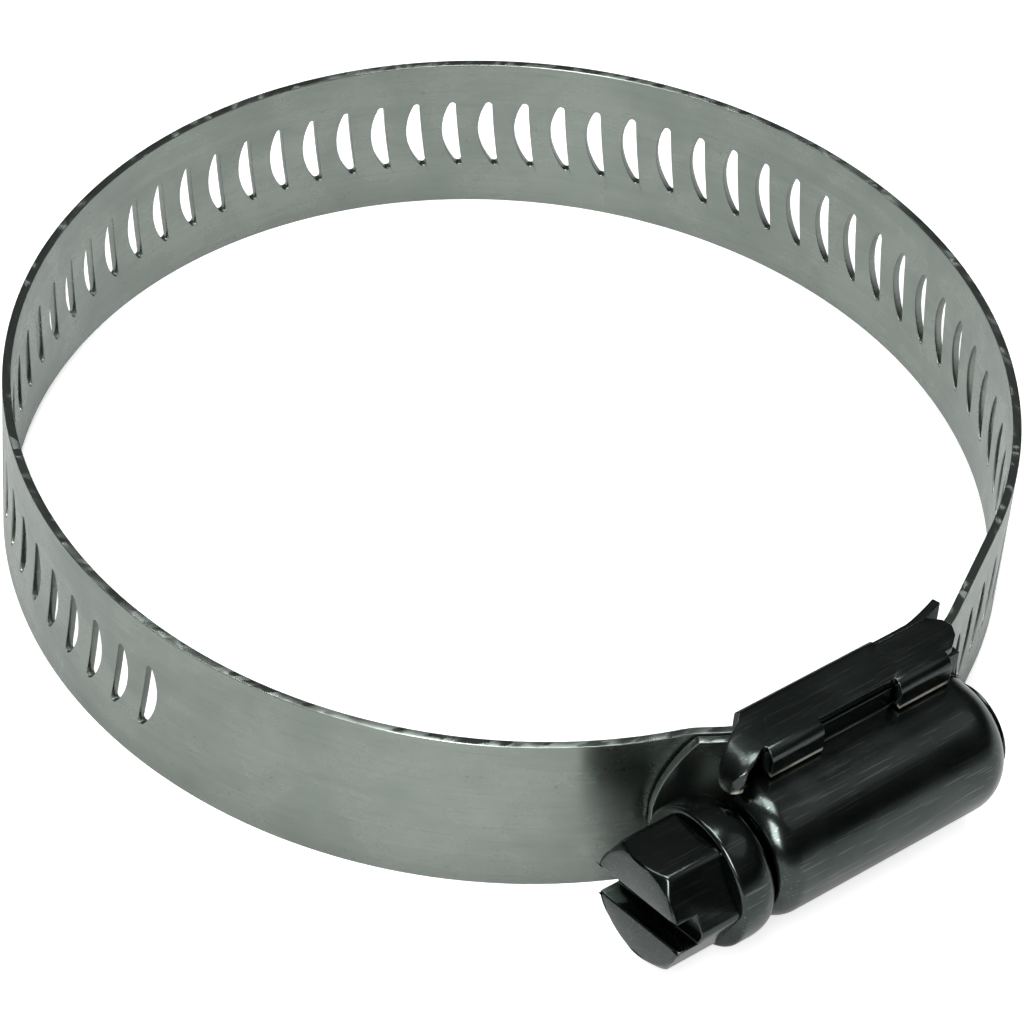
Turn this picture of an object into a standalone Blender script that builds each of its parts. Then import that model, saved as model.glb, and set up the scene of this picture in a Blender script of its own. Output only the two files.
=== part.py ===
"""Worm-drive hose clamp with a perforated band, opened near its largest size.

Four pieces: the band, the saddle that it is anchored on, the housing and the worm screw.
Metres, +Z up. The bore's axis is Z and the bore's centre is the origin. The head of the
clamp lies at -Y, and its screw lies along X with the hexagon at -X.
"""
import math

import bmesh
import bpy
from mathutils import Matrix, Vector

# Band
BORE_RADIUS = 0.03384
BAND_WIDTH = 0.0127
BAND_THICKNESS = 0.0006
SLOT_PITCH = 0.00268
SLOT_LENGTH = 0.0058
SLOT_BULGE = 0.00084
SLOT_FLAT = 0.00040
SLOT_CONCAVE = 0.00005
SLOT_CORNER = 0.00026
FIRST_SLOT = 0.0531
LAST_SLOT_MARGIN = 0.0052
FIXED_END = 0.0050
TAIL_OVERHANG = 0.0135
TAIL_TIP_RADIUS = 0.0088

# Band's route beside the head
JOIN_ANGLE = math.radians(19.2)
RAMP_ANGLE = math.radians(32.0)
RAMP_BEND = 0.0030
JOIN_BEND = 0.0040
ENTRY_FLAT = 0.0060
ENTRY_BEND = 0.0080

# Clearance between neighbouring sheets, and between the worm and the band
SHEET_GAP = 0.0002
WORM_GAP = 0.0002

# Saddle
SADDLE_THICKNESS = 0.0006
SADDLE_FLAT = 0.0158
SADDLE_BACK = 0.0076
SADDLE_BEND = 0.0004
SADDLE_HEIGHT = 0.00425
WALL_BULGE = 0.00115
WALL_DRAW = 0.0004
EAR_BEND = 0.00055
EAR_WIDTH = 0.0043
EAR_FRONT = -0.0084
EAR_REAR = 0.0023
LUG_REACH = 0.0035
LUG_TIP_WIDTH = 0.00075
LUG_CUT = 0.00015
LUG_ROOT = 0.0005
LUG_SWEEP = 1.35
LUG_CURL = 1.5
LUG_CURLED = 0.8
LUG_RISE = 0.9
LUG_LEAN = 0.06
RELIEF_START = 0.0033
RELIEF_WIDTH = 0.0004
TONGUE_START = 0.0064
TONGUE_END = 0.0097
TONGUE_WIDTH = 0.0130
TONGUE_DROP = 0.00085
TONGUE_CURL = 1.3

# Share of the half width at which the band and the saddle's base have a row of points
INNER_ROW = 0.6

# Steps round the folds of the saddle, and along the lug and the tongue
FOOT_STEPS = 3
WALL_STEPS = 4
FOLD_STEPS = 4
LUG_STEPS = 3
TONGUE_STEPS = 3

# Housing
HOUSING_THICKNESS = 0.00075
BARREL_RADIUS = 0.0048
BARREL_FRONT = -0.0109
BARREL_REAR = 0.0085
FRONT_ROUND = 0.0013
FRONT_TURN = math.radians(58.0)
REAR_ROUND = 0.0024
REAR_TURN = math.radians(62.0)
FLANGE_FRONT = -0.0079
FLANGE_REAR = 0.0080
FLANGE_BEND = 0.00055
BARREL_STEPS = 8
RIM_STEPS = 4

# Worm screw
TURNED_STEPS = 36
WORM_ROOT = 0.0027
ROOT_STEP = 0.0001
THREAD_REACH = 0.00005
THREAD_ROOT_WIDTH = 0.00076
THREAD_TIP_WIDTH = 0.00036
THREAD_SHIFT = 0.00014
THREAD_FRONT = -0.0072
THREAD_REAR = 0.0064
THREAD_STEPS = 24
THREAD_SUNK = 0.00015
NECK_RADIUS = 0.0032
NECK_REAR = -0.0089
NECK_TAPER = 0.0004
COLLAR_RADIUS = 0.0049
COLLAR_FRONT = -0.01445
COLLAR_REAR = -0.0116
COLLAR_REAR_RADIUS = 0.0043
COLLAR_EDGE = 0.0003
COLLAR_BULGE_LENGTH = 0.0016
HEX_ACROSS_FLATS = 0.00794
HEX_FACE = -0.0191
HEX_FACE_RADIUS = 0.0039
HEX_CHAMFER = math.radians(42.0)
HEX_TURN = math.radians(84.5)
HEX_CORNER = 0.0007
HEX_ROOT = 0.0001
HEX_CORE_RADIUS = 0.0032
HEX_CORE_DEPTH = 0.0010
DRIVER_SLOT_TURN = math.radians(81.0)
DRIVER_SLOT_WIDTH = 0.00215
DRIVER_SLOT_DEPTH = 0.0016
JOURNAL_RADIUS = 0.0026
JOURNAL_FRONT = 0.0070
BUTTON_FRONT = 0.0087
BUTTON_RADIUS = 0.0033
BUTTON_THICKNESS = 0.0005
BUTTON_FLAT_RADIUS = 0.0018
BUTTON_EDGE_RADIUS = 0.0029
BUTTON_EDGE_DROP = 0.00012
BUTTON_RIM = 0.00015
BUTTON_CROWN = 0.0001

# Distances of the layers from the bore's axis, from the saddle outwards
SADDLE_FACE = math.sqrt(BORE_RADIUS ** 2 - (SADDLE_FLAT / 2) ** 2)
SADDLE_MID = SADDLE_FACE + SADDLE_THICKNESS / 2
FIXED_MID = SADDLE_FACE + SADDLE_THICKNESS + SHEET_GAP + BAND_THICKNESS / 2
LAYER_STEP = BAND_THICKNESS + SHEET_GAP
FREE_MID = FIXED_MID + LAYER_STEP
SCREW_AXIS = FREE_MID + BAND_THICKNESS / 2 + WORM_GAP + WORM_ROOT
WORM_TIP = SCREW_AXIS - FREE_MID + BAND_THICKNESS / 2 - THREAD_REACH
RING_RADIUS = BORE_RADIUS + BAND_THICKNESS / 2

# Half widths of the head's layers
BAND_HALF = BAND_WIDTH / 2
WALL_MID = BAND_HALF + SHEET_GAP + SADDLE_THICKNESS / 2
EAR_MID = SADDLE_MID + SADDLE_HEIGHT - SADDLE_THICKNESS / 2
FLANGE_MID = EAR_MID - SADDLE_THICKNESS / 2 - SHEET_GAP - HOUSING_THICKNESS / 2
FLANGE_TIP = BAND_HALF
EAR_TIP = BARREL_RADIUS + SHEET_GAP


def make_material(name, colour, roughness):
    material = bpy.data.materials.new(name)
    material.use_nodes = True
    shader = material.node_tree.nodes["Principled BSDF"]
    shader.inputs["Base Color"].default_value = (*colour, 1.0)
    shader.inputs["Metallic"].default_value = 1.0
    shader.inputs["Roughness"].default_value = roughness
    return material


def make_object(name, mesh, collection, material=None):
    item = bpy.data.objects.new(name, mesh)
    collection.objects.link(item)
    if material is not None:
        mesh.materials.append(material)
    return item


def mesh_from_bmesh(name, shape):
    """Turns a bmesh into a mesh whose faces agree with each other."""
    bmesh.ops.recalc_face_normals(shape, faces=shape.faces)
    mesh = bpy.data.meshes.new(name)
    shape.to_mesh(mesh)
    shape.free()
    mesh.shade_smooth()
    mesh.set_sharp_from_angle(angle=math.radians(35.0))
    return mesh


def add_solidify(item, thickness):
    modifier = item.modifiers.new("sheet", "SOLIDIFY")
    modifier.thickness = thickness
    modifier.offset = 0.0
    modifier.use_even_offset = True


def add_mirror(item):
    modifier = item.modifiers.new("other side", "MIRROR")
    modifier.use_axis = (False, False, True)
    modifier.merge_threshold = 0.00001


def add_boolean(item, operation, tool):
    modifier = item.modifiers.new(tool.name, "BOOLEAN")
    modifier.operation = operation
    modifier.solver = "EXACT"
    modifier.object = tool
    tool.hide_render = True
    tool.display_type = "WIRE"


class Route:
    """The band's middle line seen from above, as straight runs and arcs, walked by length."""

    def __init__(self, start, heading):
        self.point = Vector(start)
        self.heading = heading
        self.length = 0.0
        self.runs = []

    def line(self, length):
        self.runs.append((self.length, self.point.copy(), self.heading, length, 0.0))
        self.point += length * Vector((math.cos(self.heading), math.sin(self.heading)))
        self.length += length

    def arc(self, radius, turn):
        """A turn of positive angle bends to the right, towards the bore."""
        length = radius * abs(turn)
        curve = -turn / length
        self.runs.append((self.length, self.point.copy(), self.heading, length, curve))
        self.point = self.along(self.length + length)[0]
        self.heading -= turn
        self.length += length

    def along(self, distance):
        """The point at a distance from the route's start, and its outward normal."""
        run = self.runs[0]
        for candidate in self.runs:
            if candidate[0] <= distance + 1e-9:
                run = candidate
        begin, origin, heading, length, curve = run
        step = distance - begin
        if curve:
            turned = heading + curve * step
            across = math.sin(turned) - math.sin(heading)
            along = math.cos(heading) - math.cos(turned)
            point = origin + Vector((across, along)) / curve
        else:
            turned = heading
            point = origin + step * Vector((math.cos(heading), math.sin(heading)))
        return point, Vector((-math.sin(turned), math.cos(turned)))


def lay_band_route():
    """Walks from the anchored end, round the bore, through the housing and out to the tail."""
    outward_join = Vector((-math.sin(JOIN_ANGLE), -math.cos(JOIN_ANGLE)))
    outward_ramp = Vector((-math.sin(RAMP_ANGLE), -math.cos(RAMP_ANGLE)))
    join_start = (RING_RADIUS + JOIN_BEND) * outward_join - JOIN_BEND * outward_ramp
    ramp_end_y = -FIXED_MID + RAMP_BEND * (1.0 - math.cos(RAMP_ANGLE))
    ramp_length = (join_start.y - ramp_end_y) / math.sin(RAMP_ANGLE)
    ramp_end_x = join_start.x + ramp_length * math.cos(RAMP_ANGLE)
    ramp_start_x = ramp_end_x + RAMP_BEND * math.sin(RAMP_ANGLE)

    side = FREE_MID - ENTRY_BEND
    reach = math.hypot(ENTRY_FLAT, side)
    entry_angle = math.atan2(ENTRY_FLAT, side) + math.acos((RING_RADIUS - ENTRY_BEND) / reach)
    outward_entry = Vector((math.sin(entry_angle), -math.cos(entry_angle)))
    ring_end = RING_RADIUS * outward_entry
    bend_start = Vector((ENTRY_FLAT, -side)) + ENTRY_BEND * outward_entry

    route = Route((FIXED_END, -FIXED_MID), math.pi)
    route.line(FIXED_END - ramp_start_x)
    route.arc(RAMP_BEND, RAMP_ANGLE)
    route.line(ramp_length)
    route.arc(JOIN_BEND, JOIN_ANGLE - RAMP_ANGLE)
    route.arc(RING_RADIUS, 2.0 * math.pi - JOIN_ANGLE - entry_angle)
    route.line((ring_end - bend_start).length)
    route.arc(ENTRY_BEND, entry_angle)
    centre = route.length + ENTRY_FLAT
    route.line(ENTRY_FLAT - ramp_start_x)
    route.arc(RAMP_BEND + LAYER_STEP, RAMP_ANGLE)
    route.line(ramp_length)
    route.arc(JOIN_BEND - LAYER_STEP, JOIN_ANGLE - RAMP_ANGLE)
    tail_angle = math.asin(TAIL_OVERHANG / (RING_RADIUS + LAYER_STEP))
    route.arc(RING_RADIUS + LAYER_STEP, tail_angle - JOIN_ANGLE)
    return route, centre


def slot_lean():
    """The slots lean as the thread does where it crosses the band."""
    return math.atan(SLOT_PITCH / (2.0 * math.pi * (SCREW_AXIS - FREE_MID)))


def slot_outline():
    """Fourteen points of one slot, from the middle of its flat side; x runs against the route."""
    end_centre = (SLOT_CORNER - SLOT_FLAT, SLOT_LENGTH / 2 - SLOT_CORNER)
    offset = end_centre[0] - SLOT_BULGE
    round_radius = ((SLOT_CORNER ** 2 - offset ** 2 - end_centre[1] ** 2)
                    / (2.0 * (offset + SLOT_CORNER)))
    meet = math.asin(end_centre[1] / (round_radius - SLOT_CORNER))
    upper = []
    for share in (1.0, 0.66, 0.33, 0.0):
        angle = meet + (math.pi - meet) * share
        upper.append((end_centre[0] + SLOT_CORNER * math.cos(angle),
                      end_centre[1] + SLOT_CORNER * math.sin(angle)))
    for share in (0.66, 0.33):
        angle = meet * share
        upper.append((SLOT_BULGE + round_radius * (math.cos(angle) - 1.0),
                      round_radius * math.sin(angle)))
    lower = [(x, -z) for x, z in reversed(upper)]
    outline = [(SLOT_CONCAVE - SLOT_FLAT, 0.0), *upper, (SLOT_BULGE, 0.0), *lower]
    slope = math.tan(slot_lean())
    return [(x + z * slope, z) for x, z in outline]


def slot_places(route):
    """Distances along the route of the slots' middles."""
    count = int((route.length - LAST_SLOT_MARGIN - FIRST_SLOT) / SLOT_PITCH) + 1
    return [FIRST_SLOT + index * SLOT_PITCH for index in range(count)]


def band_mesh(route):
    """The strip's middle surface: one cell for each slot, plain columns before and after them."""
    shape = bmesh.new()
    made = {}

    def vertex(distance, height):
        key = (round(distance, 8), round(height, 8))
        if key not in made:
            point, _ = route.along(distance)
            made[key] = shape.verts.new((point.x, point.y, height))
        return made[key]

    level = INNER_ROW * BAND_HALF
    levels = [-BAND_HALF, -level, 0.0, level, BAND_HALF]

    def column_pair(first, second, first_levels=levels, second_levels=levels):
        for low, high, low_next, high_next in zip(
                first_levels, first_levels[1:], second_levels, second_levels[1:]):
            shape.faces.new((vertex(first, low), vertex(second, low_next),
                             vertex(second, high_next), vertex(first, high)))

    def plain_columns(start, end):
        steps = max(1, round((end - start) / (SLOT_PITCH / 2)))
        marks = [start + (end - start) * index / steps for index in range(steps + 1)]
        for first, second in zip(marks, marks[1:]):
            column_pair(first, second)

    places = slot_places(route)
    outline = slot_outline()
    half = SLOT_PITCH / 2
    plain_columns(0.0, places[0] - half)
    border = [(-half, 0.0), (-half, level), (-half, BAND_HALF), (0.0, BAND_HALF),
              (half, BAND_HALF), (half, level), (half, level), (half, 0.0), (half, -level),
              (half, -level), (half, -BAND_HALF), (0.0, -BAND_HALF), (-half, -BAND_HALF),
              (-half, -level)]
    for place in places:
        inner = [vertex(place - x, z) for x, z in outline]
        outer = [vertex(place - x, z) for x, z in border]
        for index in range(len(border)):
            after = (index + 1) % len(border)
            corners = [outer[index], outer[after], inner[after], inner[index]]
            if outer[index] == outer[after]:
                corners.pop(0)
            shape.faces.new(corners)

    tip_depth = TAIL_TIP_RADIUS - math.sqrt(TAIL_TIP_RADIUS ** 2 - BAND_HALF ** 2)
    tip_start = route.length - tip_depth
    plain_columns(places[-1] + half, tip_start)
    full_turn = math.asin(BAND_HALF / TAIL_TIP_RADIUS)
    before, before_levels = tip_start, levels
    for share in (0.82, 0.64, 0.46, 0.3, 0.14):
        turn = full_turn * share
        distance = route.length - TAIL_TIP_RADIUS * (1.0 - math.cos(turn))
        scale = TAIL_TIP_RADIUS * math.sin(turn) / BAND_HALF
        tip_levels = [scale * value for value in levels]
        column_pair(before, distance, before_levels, tip_levels)
        before, before_levels = distance, tip_levels
    return mesh_from_bmesh("band", shape)


def build_band(collection, material, route):
    band = make_object("band", band_mesh(route), collection, material)
    add_solidify(band, BAND_THICKNESS)
    return band


def sheet_grid(name, columns, keep):
    """A sheet from columns of points; keep says which cells between them are there."""
    shape = bmesh.new()
    grid = [[shape.verts.new(point) for point in column] for column in columns]
    for i in range(len(columns) - 1):
        for j in range(len(columns[i]) - 1):
            if keep(i, j):
                shape.faces.new((grid[i][j], grid[i + 1][j], grid[i + 1][j + 1], grid[i][j + 1]))
    loose = [vert for vert in shape.verts if not vert.link_faces]
    bmesh.ops.delete(shape, geom=loose, context="VERTS")
    return mesh_from_bmesh(name, shape)


def bend_points(centre, radius, start, end, steps):
    """Points on an arc in the section's plane, from one angle to another in degrees."""
    points = []
    for index in range(steps + 1):
        angle = math.radians(start + (end - start) * index / steps)
        points.append((centre[0] + radius * math.cos(angle), centre[1] + radius * math.sin(angle)))
    return points


def saddle_section():
    """Half of the saddle's section as (distance from the bore's axis, z), and its marks."""
    bottom = (WALL_MID - SADDLE_BEND, SADDLE_MID + SADDLE_BEND)
    top = (WALL_MID - EAR_BEND, EAR_MID - EAR_BEND)
    points = [(0.0, SADDLE_MID), (INNER_ROW * BAND_HALF, SADDLE_MID)]
    marks = {"edge": len(points)}
    points += bend_points(bottom, SADDLE_BEND, -90.0, 0.0, FOOT_STEPS)
    marks["foot"] = len(points) - 1
    rise = (top[1] - bottom[1]) / WALL_STEPS
    points += [(WALL_MID, bottom[1] + rise * index) for index in range(1, WALL_STEPS)]
    marks["centre"] = marks["foot"] + WALL_STEPS // 2
    marks["top"] = len(points)
    points += bend_points(top, EAR_BEND, 0.0, 90.0, FOLD_STEPS)
    points.append((EAR_TIP, EAR_MID))
    return [(out, z) for z, out in points], marks


def lug_front(section, marks):
    """The lug's front edge: it leaves the wall, curves in and ends beside the barrel."""
    front = -SADDLE_FLAT / 2
    foot = section[marks["foot"]][0]
    edge = [(front, out, z) for out, z in section[:marks["foot"]]]
    edge.append((front - LUG_LEAN * LUG_REACH, foot, WALL_MID))
    steps = len(section) - 1 - marks["foot"]
    for index in range(1, steps + 1):
        share = index / steps
        forward = LUG_REACH * math.sin(0.5 * math.pi * min(1.0, LUG_SWEEP * share))
        outward = (EAR_MID - foot) * share ** LUG_RISE
        curled = 0.5 - 0.5 * math.cos(math.pi * min(1.0, share / LUG_CURLED))
        inward = (WALL_MID - EAR_TIP) * curled ** LUG_CURL
        edge.append((front - forward, foot + outward, WALL_MID - inward))
    return edge


def lug_rear(section, marks):
    """The lug's rear edge: it runs forward as it curves in, and leaves a gap before the ear."""
    front = -SADDLE_FLAT / 2
    start = EAR_FRONT - LUG_CUT
    tip = front - LUG_REACH + LUG_TIP_WIDTH
    edge = [(front + LUG_ROOT, out, z) for out, z in section[:marks["centre"]]]
    middle = 0.5 * (front + start)
    rise = marks["top"] - marks["centre"]
    for index in range(rise):
        edge.append((middle + (start - middle) * index / rise, *section[marks["centre"] + index]))
    steps = len(section) - 1 - marks["top"]
    for index in range(steps + 1):
        edge.append((start + (tip - start) * index / steps, *section[marks["top"] + index]))
    return edge


def curled_between(front, rear, share):
    """A point between the lug's edges; the sheet curls in more and more towards its front."""
    x, out, _ = (a + (b - a) * share for a, b in zip(front, rear))
    return x, out, rear[2] + (front[2] - rear[2]) * (1.0 - share) ** 2


def wall_end(section, marks):
    """The rounded rear end of the walls."""
    end = [(SADDLE_BACK, out, z) for out, z in section]
    foot, top = section[marks["foot"]][0], section[marks["top"]][0]
    for index in range(marks["foot"], marks["top"] + 1):
        height = (section[index][0] - foot) / (top - foot)
        push = WALL_BULGE * (1.0 - (2.0 * height - 1.0) ** 2) - WALL_DRAW * height
        end[index] = (SADDLE_BACK + push, *section[index])
    return end


def saddle_rows(section, marks):
    """Columns of points from the lug back, each with what is kept behind it."""
    rows = []

    def plain(place):
        return [(place, out, z) for out, z in section]

    def run(first, last, steps, wall, ear):
        for index in range(steps):
            share = index / steps
            row = [tuple(a + (b - a) * share for a, b in zip(here, there))
                   for here, there in zip(first, last)]
            rows.append((row, wall, ear))

    front, rear = lug_front(section, marks), lug_rear(section, marks)
    for index in range(LUG_STEPS):
        share = index / LUG_STEPS
        rows.append(([curled_between(a, b, share) for a, b in zip(front, rear)], True, True))
    ear_start = plain(EAR_FRONT)
    for index in range(marks["top"]):
        ear_start[index] = (rear[index][0] + LUG_ROOT, *section[index])
    relief_end = RELIEF_START + RELIEF_WIDTH
    ear_stop = EAR_REAR + EAR_WIDTH
    end = wall_end(section, marks)
    run(rear, ear_start, 1, wall=True, ear=False)
    run(ear_start, plain(EAR_FRONT + EAR_WIDTH), 1, wall=True, ear=True)
    run(plain(EAR_FRONT + EAR_WIDTH), plain(EAR_REAR), 1, wall=True, ear=False)
    run(plain(EAR_REAR), plain(RELIEF_START), 1, wall=True, ear=True)
    run(plain(RELIEF_START), plain(relief_end), 1, wall=False, ear=True)
    run(plain(relief_end), plain(ear_stop), 2, wall=False, ear=True)
    run(plain(ear_stop), end, 1, wall=False, ear=False)
    last_wall = len(rows)
    run(end, plain(TONGUE_END), TONGUE_STEPS, wall=False, ear=False)
    rows.append((plain(TONGUE_END), False, False))
    return rows, last_wall


def bent_tongue(row, edge):
    """Behind the relief cut the base is a tongue, which bends with the ring towards its end."""
    bent = list(row)
    for index in range(edge + 1):
        x, out, z = row[index]
        share = max(0.0, (x - TONGUE_START) / (TONGUE_END - TONGUE_START))
        if index == edge:
            z = TONGUE_WIDTH / 2
        bent[index] = (x, out - TONGUE_DROP * share ** TONGUE_CURL, z)
    return bent


def build_saddle(collection, material):
    """A channel under the band, with a curved lug and two ears folded over each flange."""
    section, marks = saddle_section()
    rows, last_wall = saddle_rows(section, marks)
    columns = []
    for row, _, _ in rows:
        if row[marks["edge"]][0] > RELIEF_START + 0.5 * RELIEF_WIDTH:
            row = bent_tongue(row, marks["edge"])
        columns.append([(x, -out, z) for x, out, z in row])

    def keep(i, j):
        _, wall, ear = rows[i]
        if j < marks["edge"]:
            return True
        if i >= last_wall or (j < marks["foot"] and not wall):
            return False
        return j < marks["top"] or ear

    saddle = make_object("saddle", sheet_grid("saddle", columns, keep), collection, material)
    add_mirror(saddle)
    add_solidify(saddle, SADDLE_THICKNESS)
    return saddle


def housing_section(radius):
    """Half of the housing's section as (z, distance from the bore's axis), from the crown out."""
    points = bend_points((0.0, SCREW_AXIS), radius, 90.0, 0.0, BARREL_STEPS)
    hollow = (radius + FLANGE_BEND, FLANGE_MID + FLANGE_BEND)
    points += bend_points(hollow, FLANGE_BEND, 180.0, 270.0, 3)
    points.append((FLANGE_TIP, FLANGE_MID))
    return points


def build_housing(collection, material):
    """The barrel over the worm, rounded in at both ends, with a flange along each side."""
    full = BARREL_RADIUS - HOUSING_THICKNESS / 2
    stations = []
    for index in range(RIM_STEPS):
        turn = FRONT_TURN * (1.0 - index / (RIM_STEPS - 1))
        along = BARREL_FRONT + FRONT_ROUND * (1.0 - math.sin(turn))
        stations.append((along, full - FRONT_ROUND * (1.0 - math.cos(turn))))
    stations.append((FLANGE_FRONT, full))
    stations.append((0.0, full))
    for index in range(RIM_STEPS + 1):
        turn = REAR_TURN * index / RIM_STEPS
        along = BARREL_REAR - REAR_ROUND * (1.0 - math.sin(turn))
        stations.append((along, full - REAR_ROUND * (1.0 - math.cos(turn))))
    flanged = [FLANGE_FRONT <= along <= FLANGE_REAR for along, _ in stations]
    columns = []
    for along, radius in stations:
        columns.append([(along, -out, z) for z, out in housing_section(radius)])

    def keep(i, j):
        return j <= BARREL_STEPS or (flanged[i] and flanged[i + 1])

    housing = make_object("housing", sheet_grid("housing", columns, keep), collection, material)
    add_mirror(housing)
    add_solidify(housing, HOUSING_THICKNESS)
    return housing


def turned_profile(name, points, collection, material=None):
    """A solid turned about its local Z from (radius, height) points that run from the top down."""
    shape = bmesh.new()
    verts = [shape.verts.new((radius, 0.0, height)) for radius, height in points]
    for first, second in zip(verts, verts[1:]):
        shape.edges.new((first, second))
    mesh = bpy.data.meshes.new(name)
    shape.to_mesh(mesh)
    shape.free()
    item = make_object(name, mesh, collection, material)
    screw = item.modifiers.new("turned", "SCREW")
    screw.steps = TURNED_STEPS
    screw.render_steps = TURNED_STEPS
    screw.use_merge_vertices = True
    screw.merge_threshold = 0.00001
    screw.use_smooth_shade = True
    return item


def loft_sections(name, sections, collection):
    """A closed solid through a list of closed sections, with a face at each end."""
    shape = bmesh.new()
    rings = [[shape.verts.new(point) for point in section] for section in sections]
    for ring, after in zip(rings, rings[1:]):
        for index in range(len(ring)):
            following = (index + 1) % len(ring)
            shape.faces.new((ring[index], ring[following], after[following], after[index]))
    shape.faces.new(list(reversed(rings[0])))
    shape.faces.new(rings[-1])
    return make_object(name, mesh_from_bmesh(name, shape), collection)


def screw_points():
    """The turned outline of the screw, from its tip back to inside the hexagon."""
    button_back = BUTTON_FRONT + BUTTON_THICKNESS
    bulge = COLLAR_RADIUS - COLLAR_REAR_RADIUS
    points = [
        (0.0, button_back + BUTTON_CROWN),
        (BUTTON_FLAT_RADIUS, button_back),
        (BUTTON_EDGE_RADIUS, button_back - BUTTON_EDGE_DROP),
        (BUTTON_RADIUS, BUTTON_FRONT + BUTTON_RIM),
        (BUTTON_RADIUS, BUTTON_FRONT),
        (JOURNAL_RADIUS, BUTTON_FRONT),
        (JOURNAL_RADIUS, JOURNAL_FRONT),
        (WORM_ROOT, JOURNAL_FRONT - ROOT_STEP),
        (WORM_ROOT, NECK_REAR + NECK_TAPER),
        (NECK_RADIUS, NECK_REAR),
        (NECK_RADIUS, COLLAR_REAR),
        (COLLAR_REAR_RADIUS, COLLAR_REAR),
    ]
    for turn in (25.0, 50.0, 72.0, 90.0):
        angle = math.radians(turn)
        points.append((COLLAR_REAR_RADIUS + bulge * math.sin(angle),
                       COLLAR_REAR - COLLAR_BULGE_LENGTH * (1.0 - math.cos(angle))))
    points += [
        (COLLAR_RADIUS, COLLAR_FRONT + COLLAR_EDGE),
        (COLLAR_RADIUS - COLLAR_EDGE, COLLAR_FRONT),
        (0.5 * HEX_ACROSS_FLATS, COLLAR_FRONT - HEX_ROOT),
        (HEX_CORE_RADIUS, COLLAR_FRONT - HEX_ROOT),
        (HEX_CORE_RADIUS, COLLAR_FRONT - HEX_CORE_DEPTH),
        (0.0, COLLAR_FRONT - HEX_CORE_DEPTH),
    ]
    return points


def thread_sections(phase):
    """Sections of the ridge along its helix; it fades in and out over part of a turn."""
    start = 2.0 * math.pi * (THREAD_FRONT - phase) / SLOT_PITCH
    end = 2.0 * math.pi * (THREAD_REAR - phase) / SLOT_PITCH
    count = round((end - start) / (2.0 * math.pi) * THREAD_STEPS)
    fade = THREAD_STEPS // 4
    sunk = WORM_ROOT - THREAD_SUNK
    sections = []
    for index in range(count + 1):
        turn = start + (end - start) * index / count
        middle = phase + SLOT_PITCH * turn / (2.0 * math.pi)
        share = min(1.0, (index + 0.4) / fade, (count - index + 0.4) / fade)
        height = WORM_ROOT + (WORM_TIP - WORM_ROOT) * share
        corners = [(sunk, -THREAD_ROOT_WIDTH / 2), (height, -THREAD_TIP_WIDTH / 2),
                   (height, THREAD_TIP_WIDTH / 2), (sunk, THREAD_ROOT_WIDTH / 2)]
        sections.append([(-radius * math.sin(turn), radius * math.cos(turn), middle + offset)
                         for radius, offset in corners])
    return sections


def build_hexagon(cutters):
    """The hexagon with rounded long edges and its face turned down to a circle."""
    length = COLLAR_FRONT - HEX_FACE + 2.0 * HEX_ROOT
    centre = (HEX_ACROSS_FLATS - 2.0 * HEX_CORNER) / math.sqrt(3.0)
    outline = []
    for corner in range(6):
        middle = HEX_TURN + math.radians(60.0 * corner)
        for turn in (-30.0, -10.0, 10.0, 30.0):
            angle = middle + math.radians(turn)
            outline.append((centre * math.cos(middle) + HEX_CORNER * math.cos(angle),
                            centre * math.sin(middle) + HEX_CORNER * math.sin(angle)))
    sections = [[(x, y, HEX_FACE + height) for x, y in outline] for height in (0.0, length)]
    hexagon = loft_sections("hexagon", sections, cutters)
    wide = HEX_ACROSS_FLATS
    slope = (wide - HEX_FACE_RADIUS) * math.tan(HEX_CHAMFER)
    back = HEX_FACE + max(length, slope) + wide
    outline = [(0.0, back), (wide, back), (wide, HEX_FACE + slope), (HEX_FACE_RADIUS, HEX_FACE),
               (0.0, HEX_FACE)]
    add_boolean(hexagon, "INTERSECT", turned_profile("chamfer", outline, cutters))
    return hexagon


def build_driver_slot(cutters):
    """The cutter of the slot across the hexagon's face."""
    shape = bmesh.new()
    bmesh.ops.create_cube(shape, size=1.0)
    size = (2.0 * HEX_ACROSS_FLATS, DRIVER_SLOT_WIDTH, 2.0 * DRIVER_SLOT_DEPTH, 1.0)
    turn = Matrix.Rotation(DRIVER_SLOT_TURN, 4, "Z")
    place = Matrix.Translation((0.0, 0.0, HEX_FACE)) @ turn @ Matrix.Diagonal(size)
    bmesh.ops.transform(shape, matrix=place, verts=shape.verts)
    return make_object("driver_slot", mesh_from_bmesh("driver_slot", shape), cutters)


def build_screw(collection, cutters, material, centre):
    """The worm, its collar, hexagon and end button, all one piece, turning about X."""
    screw = turned_profile("worm_screw", screw_points(), collection, material)
    phase = (centre - FIRST_SLOT) % SLOT_PITCH + THREAD_SHIFT
    tools = [("UNION", loft_sections("thread", thread_sections(phase), cutters)),
             ("UNION", build_hexagon(cutters)),
             ("DIFFERENCE", build_driver_slot(cutters))]
    for operation, tool in tools:
        add_boolean(screw, operation, tool)
    for item in [screw, *cutters.objects]:
        item.location = (0.0, -SCREW_AXIS, 0.0)
        item.rotation_euler = (0.0, math.radians(90.0), 0.0)
    return screw


def build(collection, cutters):
    steel = make_material("satin stainless", (0.62, 0.65, 0.62), 0.32)
    dark = make_material("dark polished steel", (0.16, 0.18, 0.17), 0.22)
    route, centre = lay_band_route()
    build_band(collection, steel, route)
    build_saddle(collection, dark)
    build_housing(collection, dark)
    build_screw(collection, cutters, dark, centre)


def main():
    for item in list(bpy.data.objects):
        bpy.data.objects.remove(item, do_unlink=True)
    collection = bpy.data.collections.new("hose_clamp")
    cutters = bpy.data.collections.new("cutters")
    bpy.context.scene.collection.children.link(collection)
    bpy.context.scene.collection.children.link(cutters)
    build(collection, cutters)


main()
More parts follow.
